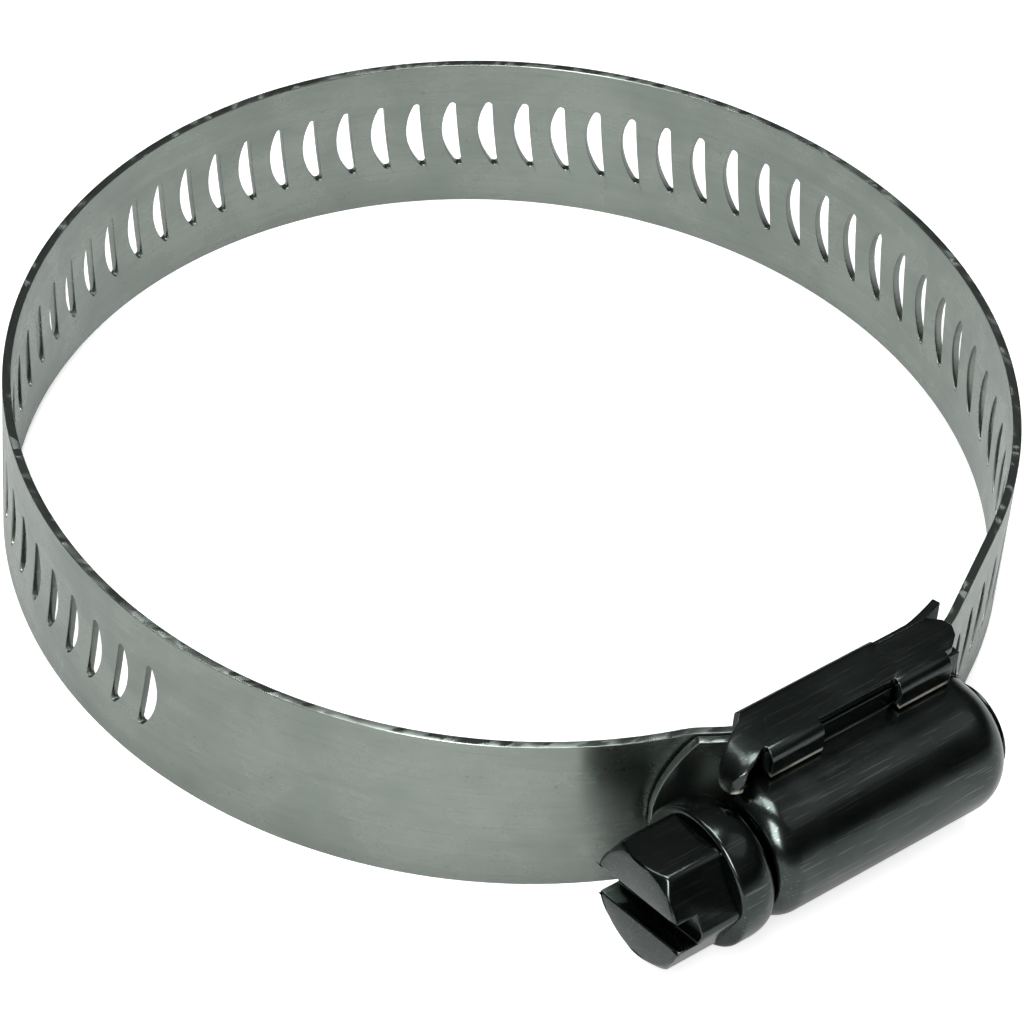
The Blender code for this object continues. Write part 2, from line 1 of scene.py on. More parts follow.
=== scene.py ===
"""A worm-drive hose clamp with a perforated band, dressed for a studio picture.

It is laid out as an add-on and run as a script. Metres, +Z up. The bore's axis is Z, the
clamp's head is at -Y, and its screw lies along X with the hexagon at -X.
"""
import math

import bmesh
import bpy
from bpy.props import FloatProperty, FloatVectorProperty, IntProperty, PointerProperty
from mathutils import Matrix, Vector


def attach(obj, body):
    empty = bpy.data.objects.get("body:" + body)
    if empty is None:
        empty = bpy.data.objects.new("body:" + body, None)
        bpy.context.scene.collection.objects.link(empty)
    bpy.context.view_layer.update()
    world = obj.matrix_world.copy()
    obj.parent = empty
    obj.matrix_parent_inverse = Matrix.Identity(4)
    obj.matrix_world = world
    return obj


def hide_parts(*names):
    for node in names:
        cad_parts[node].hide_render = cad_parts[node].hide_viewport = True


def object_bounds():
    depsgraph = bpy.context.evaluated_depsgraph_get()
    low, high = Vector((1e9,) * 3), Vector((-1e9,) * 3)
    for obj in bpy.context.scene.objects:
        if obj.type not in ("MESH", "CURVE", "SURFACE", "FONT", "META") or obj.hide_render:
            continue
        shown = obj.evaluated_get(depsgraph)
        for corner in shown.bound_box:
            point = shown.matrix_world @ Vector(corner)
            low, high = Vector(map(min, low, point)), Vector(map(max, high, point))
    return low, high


bl_info = {
    "name": "Hose clamp studio",
    "version": (1, 0, 0),
    "blender": (4, 5, 0),
    "location": "View3D > Sidebar > Hose clamp",
    "description": "Builds the looks of a worm-drive hose clamp around its packed solids",
    "category": "Object",
}

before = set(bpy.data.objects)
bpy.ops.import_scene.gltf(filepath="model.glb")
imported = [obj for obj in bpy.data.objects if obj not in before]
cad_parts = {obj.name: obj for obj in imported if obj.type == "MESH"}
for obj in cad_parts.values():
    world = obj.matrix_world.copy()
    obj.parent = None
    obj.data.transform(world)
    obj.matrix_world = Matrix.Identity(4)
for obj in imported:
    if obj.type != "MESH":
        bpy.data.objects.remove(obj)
cad_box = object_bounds()

STRIP_MAP = "strip"
HALF_TURN = math.pi
FULL_TURN = 2.0 * math.pi
# The material slot of the edge finish: painted shade on the strip, wear and a painted highlight on
# the dark steel
EDGE_FINISH_SLOT = 1

# How near points are merged, and how near a place on the band's route counts as there
WELD_DISTANCE = 0.00001
ON_THE_MARK = 1e-9

# From what angle an edge is rounded, and from what angle the screw's shading is sharp
SHEET_EDGE = math.radians(40.0)
HEXAGON_EDGE = math.radians(22.0)
SHADING_EDGE = math.radians(32.0)

# Rows of the strip's mesh as shares of its half width, and points along a slot's flat side
LEVEL_SHARES = (0.25, 0.45, 0.7, 1.0)
HOLLOW_SHARES = (0.35, 0.7)

# The share of the saddle's base with even rows, and how its lug and its tongue curve
BASE_SHARE = 0.6
LUG_FOOT = 0.06
LUG_HASTE = 1.35
LUG_CURLED_AT = 0.8
LUG_CURL_POWER = 1.5
LUG_RISE_POWER = 0.9
TONGUE_POWER = 1.3

# How far joined solids overlap, and the stub of the turned body inside the hexagon
JOINT_OVERLAP = 0.0001
STUB_SHARE = 0.4
STUB_LENGTH = 0.001

# The end button's dome, as shares of its radius and of its thickness
BUTTON_DOME = ((0.55, 0.0), (0.88, 0.25), (1.0, 0.7))

# The thread's section, and where its fading ends begin
THREAD_SUNK = 0.00015
THREAD_SHOULDER = 0.12
THREAD_FLAT = 0.3
FADE_START = 0.4

# The small chamfers of the screw's turned corners
SOFT_CORNER = math.radians(35.0)
SOFT_LIMIT = 0.35
SOFT_CUT = ((1.0, 0.0), (0.3, 0.3), (0.0, 1.0))

# How fine the marks are, in features to the metre, along and across if they run one way
FINE_GRAIN = (700.0, 26000.0, 26000.0)
BROAD_GRAIN = (45.0, 1400.0, 1400.0)
SCRATCH_GRAIN = (260.0, 9000.0, 9000.0)
CLOUD_GRAIN = 190.0
PATCH_GRAIN = 420.0
GRIT_GRAIN = 3400.0
WEAR_AND_GLINT_GRAIN = 520.0
SCRATCH_TURNS_AND_SEEDS = ((0.5, 0.0), (-0.8, 3.1), (1.7, 7.7))

# How much the marks count for, and how far they change the roughness
STREAK_SHARE = 0.25
LINE_HEIGHT = 0.5
SCRATCH_SHADE = 0.3
GLOSSIER = 0.03
DULLER = 0.04

# The turn of the strip's spread reflections, in full turns
ACROSS_THE_STRIP = 0.25

# A painted highlight: the bright stripe along the tips of the ears
TIP_HIGHLIGHT_FADE = 0.00042
TIP_HIGHLIGHT_WIDTH = 0.00022
TIP_HIGHLIGHT_DEPTH = 0.0001

# Each softbox's name, power setting, azimuth, elevation, distance, size and colour
SOFTBOXES = (
    ("front softbox", "key_power", -50.0, 42.0, 0.6, (0.18, 0.36), (1.0, 1.0, 1.0)),
    ("overhead softbox", "fill_power", 139.0, 84.0, 0.6, (0.25, 0.25), (0.96, 0.98, 1.0)),
    ("small softbox", "small_power", -150.0, 66.0, 0.6, (0.18, 0.18), (1.0, 1.0, 1.0)),
    ("far softbox", "far_power", 54.0, 53.0, 0.8, (0.4, 0.3), (1.0, 1.0, 1.0)),
)

# The camera's own values; the shift of the picture's centre is in pixels of the photograph
SENSOR_WIDTH = 36.0
NEAR_CLIP = 0.01
PHOTO_SIDE = 1024
CENTRE_SHIFT = (9.8, 2.0)


def setting(kind, convert=None, **fixed):
    """A way to declare settings of one kind by their name, description and default."""
    def declare(name, description, default):
        value = convert(default) if convert else default
        return kind(name=name, description=description, default=value, **fixed)
    return declare


# Lengths and places along an axis are in metres, and angles are given in degrees
length_of = setting(FloatProperty, precision=5, min=0.0, unit="LENGTH")
place_of = setting(FloatProperty, precision=5, unit="LENGTH")
angle_of = setting(FloatProperty, math.radians, subtype="ANGLE", unit="ROTATION")
share_of = setting(FloatProperty, min=0.0, max=1.0, subtype="FACTOR")
power_of = setting(FloatProperty, min=0.0, unit="POWER")
colour_of = setting(FloatVectorProperty, size=3, min=0.0, max=1.0, subtype="COLOR")


class ClampBandSizes(bpy.types.PropertyGroup):
    """Sizes of the perforated band and of its way round the bore."""

    bore_radius: length_of("Bore radius", "Inner radius of the ring", 0.03384)
    width: length_of("Width", "Width of the strip", 0.0127)
    thickness: length_of("Thickness", "Thickness of the strip", 0.0006)
    gap: length_of("Gap", "Clearance between neighbouring sheets", 0.0002)
    edge_round: length_of("Edge round", "Rounding of the strip's edges and slots", 0.00006)
    slot_pitch: length_of("Slot pitch", "Distance from slot to slot", 0.00268)
    slot_length: length_of("Slot length", "Length of a slot across the strip", 0.0058)
    slot_bulge: length_of("Slot bulge", "Reach of a slot's rounded side", 0.00084)
    slot_flat: length_of("Slot flat", "Reach of a slot's flat side", 0.0004)
    slot_hollow: length_of("Slot hollow", "Hollow of a slot's flat side", 0.00005)
    slot_corner: length_of("Slot corner", "Radius of a slot's ends", 0.00026)
    first_slot: length_of("First slot", "Distance of the first slot from the fixed end", 0.0531)
    last_margin: length_of("Last margin", "Plain length after the last slot", 0.0052)
    fixed_end: length_of("Fixed end", "Reach of the anchored end past the head's middle", 0.005)
    tail: length_of("Tail", "How far the free end reaches past the head's middle", 0.0135)
    tip_radius: length_of("Tip radius", "Radius of the free end's tip", 0.0088)
    join_angle: angle_of("Join angle", "Where the ramp leaves the ring", 19.2)
    ramp_angle: angle_of("Ramp angle", "Slope of the ramp under the head's front", 32.0)
    ramp_bend: length_of("Ramp bend", "Radius of the bend at the ramp's foot", 0.003)
    join_bend: length_of("Join bend", "Radius of the bend at the ramp's top", 0.004)
    entry_flat: length_of("Entry flat", "Straight run behind the head's middle", 0.006)
    entry_bend: length_of("Entry bend", "Radius of the bend behind the head", 0.008)


class ClampHeadSizes(bpy.types.PropertyGroup):
    """Sizes of the folded saddle and of the housing over the worm."""

    sheet: length_of("Saddle sheet", "Thickness of the saddle's sheet", 0.0006)
    edge_round: length_of("Edge round", "Rounding of the sheets' edges", 0.00009)
    ear_round: length_of("Ear round", "Rounding of the saddle's cut edges", 0.00007)
    flat: length_of("Saddle flat", "Width of the saddle's flat over the bore", 0.0158)
    back: place_of("Saddle back", "Rear end of the saddle's walls", 0.0076)
    bend: length_of("Saddle bend", "Radius of the bottom bends", 0.0004)
    height: length_of("Saddle height", "Height of the walls", 0.00425)
    wall_bulge: length_of("Wall bulge", "Bulge of the walls' rear ends", 0.00115)
    wall_draw: length_of("Wall draw", "How far the walls' rear ends lean forward", 0.0004)
    ear_bend: length_of("Ear bend", "Radius of the ears' bends", 0.00055)
    ear_width: length_of("Ear width", "Width of an ear", 0.0043)
    ear_front: place_of("Front ear", "Front edge of the front ear", -0.0084)
    ear_rear: place_of("Rear ear", "Front edge of the rear ear", 0.0023)
    ear_gap: length_of("Ear gap", "Straight top edge kept before the rear ear", 0.0032)
    lug_reach: length_of("Lug reach", "Reach of the curved lug past the saddle's flat", 0.0035)
    lug_tip: length_of("Lug tip", "Width of the lug's tip", 0.00075)
    lug_cut: length_of("Lug cut", "Gap between the lug and the front ear", 0.00025)
    lug_root: length_of("Lug root", "Width of the lug's root behind the flat's front", 0.0005)
    relief: place_of("Relief", "Where the walls leave the saddle's flat", 0.0033)
    relief_width: length_of("Relief width", "Width of the relief cut", 0.0004)
    tongue_start: place_of("Tongue start", "Where the tongue begins to bend", 0.0064)
    tongue_end: place_of("Tongue end", "Rear end of the tongue", 0.0097)
    tongue_width: length_of("Tongue width", "Width of the tongue", 0.013)
    tongue_drop: length_of("Tongue drop", "How far the tongue bends with the ring", 0.00085)
    housing_sheet: length_of("Housing sheet", "Thickness of the housing's sheet", 0.00075)
    barrel_radius: length_of("Barrel radius", "Outer radius of the barrel", 0.0048)
    barrel_front: place_of("Barrel front", "Front end of the barrel", -0.0109)
    barrel_rear: place_of("Barrel rear", "Rear end of the barrel", 0.0085)
    front_round: length_of("Front round", "Radius of the barrel's front rim", 0.0016)
    front_turn: angle_of("Front turn", "How far the front rim turns in", 58.0)
    rear_round: length_of("Rear round", "Radius of the barrel's rear rim", 0.0024)
    rear_turn: angle_of("Rear turn", "How far the rear rim turns in", 62.0)
    straight_end: place_of("Straight end", "Rear end of the barrel's straight part", 0.0058)
    flange_front: place_of("Flange front", "Front end of the flanges", -0.0079)
    flange_rear: place_of("Flange rear", "Rear end of the flanges", 0.008)
    flange_bend: length_of("Flange bend", "Radius of the flanges' bends", 0.00055)


class ClampScrewSizes(bpy.types.PropertyGroup):
    """Sizes of the worm screw."""

    root: length_of("Worm root", "Radius of the worm's root", 0.0027)
    worm_gap: length_of("Worm gap", "Clearance between the worm's root and the band", 0.0002)
    thread_reach: length_of("Thread reach", "How far the thread reaches into the slots", 0.00005)
    thread_foot: length_of("Thread foot", "Width of the thread at its root", 0.00076)
    thread_crest: length_of("Thread crest", "Width of the thread at its crest", 0.00036)
    thread_shift: length_of("Thread shift", "Shift of the thread against the slots", 0.00014)
    thread_front: place_of("Thread front", "Front end of the thread", -0.0072)
    thread_rear: place_of("Thread rear", "Rear end of the thread", 0.0064)
    neck: length_of("Neck", "Radius of the neck behind the collar", 0.0032)
    neck_rear: place_of("Neck rear", "Rear end of the neck", -0.0089)
    neck_slope: length_of("Neck slope", "Length of the slope up to the neck", 0.0004)
    collar: length_of("Collar", "Radius of the collar", 0.0049)
    collar_front: place_of("Collar front", "Front face of the collar", -0.01445)
    collar_rear: place_of("Collar rear", "Rear face of the collar", -0.0116)
    collar_back: length_of("Collar back", "Radius of the collar's rear face", 0.0043)
    collar_bulge: length_of("Collar bulge", "Length of the collar's rounded rear", 0.0016)
    collar_edge: length_of("Collar edge", "Rounding of the collar's front edge", 0.0003)
    across_flats: length_of("Across flats", "Width of the hexagon", 0.00794)
    hex_face: place_of("Hexagon face", "Front face of the hexagon", -0.0191)
    hex_face_radius: length_of("Face radius", "Radius of the hexagon's front face", 0.0039)
    hex_chamfer: angle_of("Hexagon chamfer", "Slope of the hexagon's chamfer", 42.0)
    hex_corner: length_of("Hexagon corner", "Rounding of the hexagon's long edges", 0.0007)
    hex_turn: angle_of("Hexagon turn", "Turn of the hexagon at rest", 84.5)
    slot_turn: angle_of("Slot turn", "Turn of the driver slot at rest", 81.0)
    slot_width: length_of("Slot width", "Width of the driver slot", 0.00215)
    slot_depth: length_of("Slot depth", "Depth of the driver slot", 0.0016)
    journal: length_of("Journal", "Radius of the journal in the rear opening", 0.0026)
    journal_front: place_of("Journal front", "Where the journal begins", 0.007)
    button_front: place_of("Button front", "Inner face of the end button", 0.0087)
    button: length_of("Button", "Radius of the end button", 0.0033)
    button_thickness: length_of("Button thickness", "Thickness of the end button", 0.0005)
    edge_round: length_of("Edge round", "Rounding of the hexagon's edges", 0.00015)
    turn_steps: IntProperty(name="Turning steps", description="Steps of a turned surface",
                            default=96, min=24, max=256)


class ClampFinishes(bpy.types.PropertyGroup):
    """Colours and gloss of the metals."""

    strip_pale: colour_of("Strip, pale", "Stainless strip where it is clean", (0.280, 0.311, 0.280))
    strip_deep: colour_of("Strip, deep", "Stainless strip where it is dull", (0.234, 0.262, 0.238))
    strip_gloss: share_of("Strip roughness", "Roughness of the strip", 0.28)
    # Partly painted shade: the edge colour is darkened to stand for the dark room the sheared edges
    # reflect
    strip_edge_dull_and_shaded: colour_of("Strip edge", "Sheared edges of the strip", (0.080, 0.086, 0.080))
    strip_dirt: colour_of("Strip dirt", "Nicks and specks on the strip", (0.12, 0.13, 0.12))
    # Painted shade: the polished steel's colours are near-black to stand for the dark room it
    # reflects; pale and deep are its random tone
    painted_dark_pale: colour_of("Dark steel, pale", "Dark steel where it is polished",
                         (0.076, 0.089, 0.085))
    painted_dark_deep: colour_of("Dark steel, deep", "Dark steel where it is stained",
                         (0.048, 0.058, 0.054))
    painted_dark_gloss: share_of("Dark steel roughness", "Roughness of the dark steel", 0.21)
    # Partly painted highlight: the bright edge colour stands for light caught by the rounded edges,
    # and partly for real wear and scratches
    worn_edge_and_highlight: colour_of("Worn edge", "Dark steel rubbed bright at its edges",
                         (0.50, 0.48, 0.40))
    strip_spread: share_of("Strip spread", "How far the rolling spreads the strip's reflections",
                           0.85)


class ClampStudio(bpy.types.PropertyGroup):
    """The floor, the light and the camera."""

    floor_size: length_of("Floor size", "Side of the square floor", 8.0)
    floor_colour: colour_of("Floor colour", "Colour of the floor", (0.80, 0.80, 0.80))
    floor_lift: share_of("Floor lift", "Extra brightness of the floor as a background", 0.6)
    floor_gap: length_of("Floor gap", "Gap between the floor and the clamp", 0.00005)
    horizon_colour: colour_of("Horizon", "Colour of the room at the horizon", (0.4, 0.41, 0.42))
    room_colour: colour_of("Room", "Colour of the room above it", (0.045, 0.047, 0.05))
    ceiling_colour: colour_of("Ceiling", "Colour of the room overhead", (0.15, 0.155, 0.155))
    key_power: power_of("Key power", "Power of the front softbox", 3.0)
    fill_power: power_of("Fill power", "Power of the overhead softbox", 2.0)
    small_power: power_of("Small power", "Power of the small softbox", 0.45)
    far_power: power_of("Far power", "Power of the dim softbox behind", 0.14)
    lens: FloatProperty(name="Lens", description="Focal length of the camera", default=170.13,
                        subtype="DISTANCE_CAMERA", unit="CAMERA")
    azimuth: angle_of("Azimuth", "Camera's turn round the object", -41.0)
    elevation: angle_of("Elevation", "Camera's height above the horizon", 43.515)
    roll: angle_of("Roll", "Camera's roll", 5.01)
    distance: length_of("Distance", "Camera's distance from its target", 0.33576)
    target_height: place_of("Target height", "Height of the camera's target", -0.00635)


class Layers:
    """Distances of the head's layers from the bore's axis, and their half widths."""

    def __init__(self, scene):
        band, head, screw = scene.clamp_band, scene.clamp_head, scene.clamp_screw
        self.face = math.sqrt(band.bore_radius ** 2 - (head.flat / 2) ** 2)
        self.saddle = self.face + head.sheet / 2
        self.fixed = self.face + head.sheet + band.gap + band.thickness / 2
        self.step = band.thickness + band.gap
        self.free = self.fixed + self.step
        self.axis = self.free + band.thickness / 2 + screw.worm_gap + screw.root
        self.ring = band.bore_radius + band.thickness / 2
        self.half = band.width / 2
        self.wall = self.half + band.gap + head.sheet / 2
        self.ear = self.saddle + head.height - head.sheet / 2
        self.flange = self.ear - head.sheet / 2 - band.gap - head.housing_sheet / 2
        self.ear_tip = head.barrel_radius + band.gap
        self.crest = self.axis - self.free + band.thickness / 2 - screw.thread_reach


# Mesh helpers

def plain_object(name, data):
    item = bpy.data.objects.new(name, data)
    bpy.context.scene.collection.objects.link(item)
    return item


def mesh_of(name, shape):
    """Turns a bmesh into a smooth mesh whose faces agree with each other."""
    bmesh.ops.recalc_face_normals(shape, faces=shape.faces)
    mesh = bpy.data.meshes.new(name)
    shape.to_mesh(mesh)
    shape.free()
    mesh.shade_smooth()
    return mesh


def add_modifier(item, name, kind, **settings):
    modifier = item.modifiers.new(name, kind)
    for key, value in settings.items():
        setattr(modifier, key, value)


def add_boolean(item, operation, tool):
    add_modifier(item, tool.name, "BOOLEAN", operation=operation, solver="EXACT", object=tool)


def add_rounding(item, width, sharp_edge, **settings):
    """Rounds the sharp edges and gives the rounding the edge finish: on the strip a painted shade,
    on the dark steel wear and a painted highlight.
    """
    add_modifier(item, "rounded edges", "BEVEL", width=width, segments=3, limit_method="ANGLE",
                 angle_limit=sharp_edge, material=EDGE_FINISH_SLOT, use_clamp_overlap=False, **settings)


def settle(item, name, finishes):
    """Turns an object with modifiers into a plain finished piece of the same place."""
    bpy.context.view_layer.update()
    graph = bpy.context.evaluated_depsgraph_get()
    mesh = bpy.data.meshes.new_from_object(item.evaluated_get(graph), depsgraph=graph)
    mesh.name = name
    mesh.transform(item.matrix_world)
    mesh.materials.clear()
    for finish in finishes:
        mesh.materials.append(finish_named(finish))
    bpy.data.objects.remove(item, do_unlink=True)
    return plain_object(name, mesh)


def sheet_piece(name, mesh, thickness, rounding, finishes, mirrored=True, rim_slot=0):
    """Gives a middle surface its other side, its thickness, round edges and its finishes."""
    sheet = plain_object("sheet", mesh)
    if mirrored:
        add_modifier(sheet, "other side", "MIRROR", use_axis=(False, False, True),
                     merge_threshold=WELD_DISTANCE)
    add_modifier(sheet, "sheet", "SOLIDIFY", thickness=thickness, offset=0.0,
                 use_even_offset=True, material_offset_rim=rim_slot)
    add_rounding(sheet, rounding, SHEET_EDGE, miter_outer="MITER_ARC")
    add_modifier(sheet, "even normals", "WEIGHTED_NORMAL", keep_sharp=True, weight=60)
    return settle(sheet, name, finishes)


def sheet_grid(name, columns, keep):
    """A sheet from columns of points; keep says which cells between them are there."""
    shape = bmesh.new()
    grid = [[shape.verts.new(point) for point in column] for column in columns]
    for i in range(len(columns) - 1):
        for j in range(len(columns[i]) - 1):
            if keep(i, j):
                shape.faces.new((grid[i][j], grid[i + 1][j], grid[i + 1][j + 1], grid[i][j + 1]))
    loose = [vert for vert in shape.verts if not vert.link_faces]
    bmesh.ops.delete(shape, geom=loose, context="VERTS")
    return mesh_of(name, shape)


def spread(start, end, steps):
    """Even values from start to end, both among them."""
    return [start + (end - start) * index / steps for index in range(steps + 1)]


def between(first, second, share):
    return tuple(a + (b - a) * share for a, b in zip(first, second))


def arc_points(centre, radius, start, end, steps):
    """Points on an arc in a section's plane, from one angle to another in degrees."""
    angles = [math.radians(degrees) for degrees in spread(start, end, steps)]
    return [(centre[0] + radius * math.cos(angle), centre[1] + radius * math.sin(angle))
            for angle in angles]


# Shader helpers and groups

class Nodes:
    """A node tree to be filled, and the slots of the node at its end."""

    def __init__(self, tree, slots):
        self.tree = tree
        self.slots = slots

    def feed(self, slot, value):
        """Links a socket or sets a value; a colour comes without its alpha."""
        if isinstance(value, bpy.types.NodeSocket):
            self.tree.links.new(value, slot)
        elif slot.type == "RGBA":
            slot.default_value = (*value, 1.0)
        else:
            slot.default_value = value

    def set(self, name, value):
        """Feeds a slot of the tree's end."""
        self.feed(self.slots[name], value)

    def add(self, kind, inputs, **settings):
        """Adds a node, feeds its inputs with sockets or values, and gives its outputs."""
        node = self.tree.nodes.new(kind)
        for key, value in settings.items():
            setattr(node, key, value)
        for key, value in inputs.items():
            self.feed(node.inputs[key], value)
        return node.outputs

    def math(self, operation, *operands):
        return self.add("ShaderNodeMath", dict(enumerate(operands)), operation=operation)["Value"]

    def noise(self, vector, scale, detail=2.0, roughness=0.5, distortion=0.0):
        inputs = {"Vector": vector, "Scale": scale, "Detail": detail, "Roughness": roughness,
                  "Distortion": distortion}
        return self.add("ShaderNodeTexNoise", inputs)["Fac"]

    def mask(self, value, low, high):
        """Maps low..high to 0..1 smoothly."""
        inputs = {"Value": value, "From Min": low, "From Max": high}
        return self.add("ShaderNodeMapRange", inputs, interpolation_type="SMOOTHSTEP")["Result"]

    def ranged(self, value, low, high):
        """Turns a 0..1 value into low..high."""
        return self.add("ShaderNodeMapRange",
                        {"Value": value, "To Min": low, "To Max": high})["Result"]

    def stretched(self, vector, scale, turn=0.0):
        """The vector turned in its own plane and stretched, for marks that run one way."""
        inputs = {"Vector": vector, "Scale": scale, "Rotation": (0.0, 0.0, turn)}
        return self.add("ShaderNodeMapping", inputs, vector_type="POINT")["Vector"]

    def mixed(self, factor, first, second):
        """Mixes two colours by a factor that varies."""
        inputs = {"Factor": factor, 6: first, 7: second}
        return self.add("ShaderNodeMix", inputs, data_type="RGBA")[2]

    def group(self, tree, vector, **inputs):
        return self.add("ShaderNodeGroup", {"Vector": vector, **inputs}, node_tree=tree)


class Group(Nodes):
    """A shader group that makes values from a vector, and from an amount if it has one."""

    def __init__(self, name, outputs, amount=None):
        tree = bpy.data.node_groups.new(name, "ShaderNodeTree")
        sockets = tree.interface
        sockets.new_socket(name="Vector", in_out="INPUT", socket_type="NodeSocketVector")
        if amount is not None:
            entry = sockets.new_socket(name="Amount", in_out="INPUT",
                                       socket_type="NodeSocketFloat")
            entry.default_value = amount
        for label in outputs:
            sockets.new_socket(name=label, in_out="OUTPUT", socket_type="NodeSocketFloat")
        self.given = tree.nodes.new("NodeGroupInput").outputs
        super().__init__(tree, tree.nodes.new("NodeGroupOutput").inputs)


class Metal(Nodes):
    """A new metal material."""

    def __init__(self, name):
        material = bpy.data.materials.new(name)
        material.use_nodes = True
        super().__init__(material.node_tree, material.node_tree.nodes["Principled BSDF"].inputs)
        self.set("Metallic", 1.0)

    def coordinates(self):
        return self.add("ShaderNodeTexCoord", {})["Object"]

    def strip_place(self):
        """The distance along the strip and the height across it."""
        return self.add("ShaderNodeUVMap", {}, uv_map=STRIP_MAP)["UV"]

    def body(self, lines, marks):
        """How clean the metal is, from its rolled streaks and its clouds."""
        streaks = self.math("MULTIPLY", lines["Streaks"], STREAK_SHARE)
        clouds = self.math("MULTIPLY", marks["Clouds"], 1.0 - STREAK_SHARE)
        return self.math("ADD", streaks, clouds)

    def set_relief(self, lines, nicks, strength, distance):
        """Bumps from the rolled lines, and from the nicks, which go in."""
        relief = self.math("SUBTRACT", self.math("MULTIPLY", lines["Lines"], LINE_HEIGHT), nicks)
        inputs = {"Height": relief, "Strength": strength, "Distance": distance}
        self.set("Normal", self.add("ShaderNodeBump", inputs)["Normal"])


def rolled_grain_group():
    """Fine lines left by rolling or polishing, along the vector's first axis."""
    group = Group("Rolled grain", ("Lines", "Streaks"))
    vector = group.given["Vector"]
    group.set("Lines", group.noise(group.stretched(vector, FINE_GRAIN), 1.0))
    broad = group.noise(group.stretched(vector, BROAD_GRAIN), 1.0)
    group.set("Streaks", group.mask(broad, low=0.32, high=0.72))
    return group.tree


def handling_group():
    """Soft clouds of dullness, small nicks and dark specks from handling."""
    group = Group("Handling marks", ("Clouds", "Specks", "Scratches"), amount=0.5)
    vector, amount = group.given["Vector"], group.given["Amount"]
    clouds = group.noise(vector, CLOUD_GRAIN, detail=4.0, roughness=0.6, distortion=0.4)
    group.set("Clouds", group.mask(clouds, low=0.30, high=0.72))

    patches = group.mask(group.noise(vector, PATCH_GRAIN), low=0.56, high=0.70)
    dots = group.mask(group.noise(vector, GRIT_GRAIN, roughness=0.55), low=0.60, high=0.70)
    specks = group.math("MULTIPLY", patches, dots)
    group.set("Specks", group.math("MULTIPLY", specks, amount))

    scratches = None
    for turn, seed in SCRATCH_TURNS_AND_SEEDS:
        lines = group.stretched(vector, SCRATCH_GRAIN, turn)
        moved = group.add("ShaderNodeVectorMath", {0: lines, 1: (seed, seed, seed)},
                          operation="ADD")["Vector"]
        found = group.mask(group.noise(moved, 1.0, detail=0.0), low=0.735, high=0.79)
        scratches = found if scratches is None else group.math("MAXIMUM", scratches, found)
    group.set("Scratches", group.math("MULTIPLY", scratches, amount))
    return group.tree


def wear_and_glint_group():
    """Where a rounded edge is bright, broken up along its length: partly real wear, partly a
    painted glint.
    """
    group = Group("Rubbed edge", ("Rubbed",))
    breaks = group.noise(group.given["Vector"], WEAR_AND_GLINT_GRAIN, detail=3.0, roughness=0.6)
    group.set("Rubbed", group.mask(breaks, low=0.36, high=0.62))
    return group.tree


# Finishes

def strip_metal(finishes, grain, handling):
    """Satin stainless strip, rolled lengthwise, with faint clouds, nicks and scratches."""
    metal = Metal("satin stainless strip")
    place = metal.strip_place()
    lines = metal.group(grain, place)
    marks = metal.group(handling, place, Amount=0.6)
    body = metal.body(lines, marks)
    colour = metal.mixed(body, finishes.strip_deep, finishes.strip_pale)
    scratches = metal.math("MULTIPLY", marks["Scratches"], SCRATCH_SHADE)
    dirt = metal.math("MAXIMUM", marks["Specks"], scratches)
    metal.set("Base Color", metal.mixed(dirt, colour, finishes.strip_dirt))
    gloss = finishes.strip_gloss
    metal.set("Roughness", metal.ranged(body, low=gloss + GLOSSIER, high=gloss - GLOSSIER))
    along = metal.add("ShaderNodeTangent", {}, direction_type="UV_MAP", uv_map=STRIP_MAP)
    metal.set("Tangent", along["Tangent"])
    metal.set("Anisotropic", finishes.strip_spread)
    metal.set("Anisotropic Rotation", ACROSS_THE_STRIP)
    metal.set_relief(lines, dirt, strength=0.08, distance=0.000008)


def shaded_strip_edge_metal(finishes, rubbed):
    """Sheared and rolled edges of the strip: duller than its faces, and darker as painted shade of
    the dark room they reflect.
    """
    metal = Metal("sheared strip edge")
    wear_glint_mask = metal.group(rubbed, metal.strip_place())["Rubbed"]
    dull = tuple(0.6 * value for value in finishes.strip_edge_dull_and_shaded)
    metal.set("Base Color", metal.mixed(wear_glint_mask, dull, finishes.strip_edge_dull_and_shaded))
    metal.set("Roughness", metal.ranged(wear_glint_mask, low=0.42, high=0.36))


def painted_tip_highlight(metal, place, rubbed, layers):
    """A mask over the tips of the saddle's ears, where a painted highlight stands for the light
    that their edges catch.
    """
    parts = metal.add("ShaderNodeSeparateXYZ", {"Vector": place})
    side = metal.math("ABSOLUTE", parts["Z"])
    tip = metal.mask(side, layers.ear_tip + TIP_HIGHLIGHT_FADE, layers.ear_tip + TIP_HIGHLIGHT_WIDTH)
    outer = metal.mask(parts["Y"], -layers.ear, -layers.ear - TIP_HIGHLIGHT_DEPTH)
    wear_glint_mask = metal.group(rubbed, place)["Rubbed"]
    return metal.math("MULTIPLY", metal.math("MULTIPLY", tip, outer),
                      metal.ranged(wear_glint_mask, low=0.45, high=1.0))


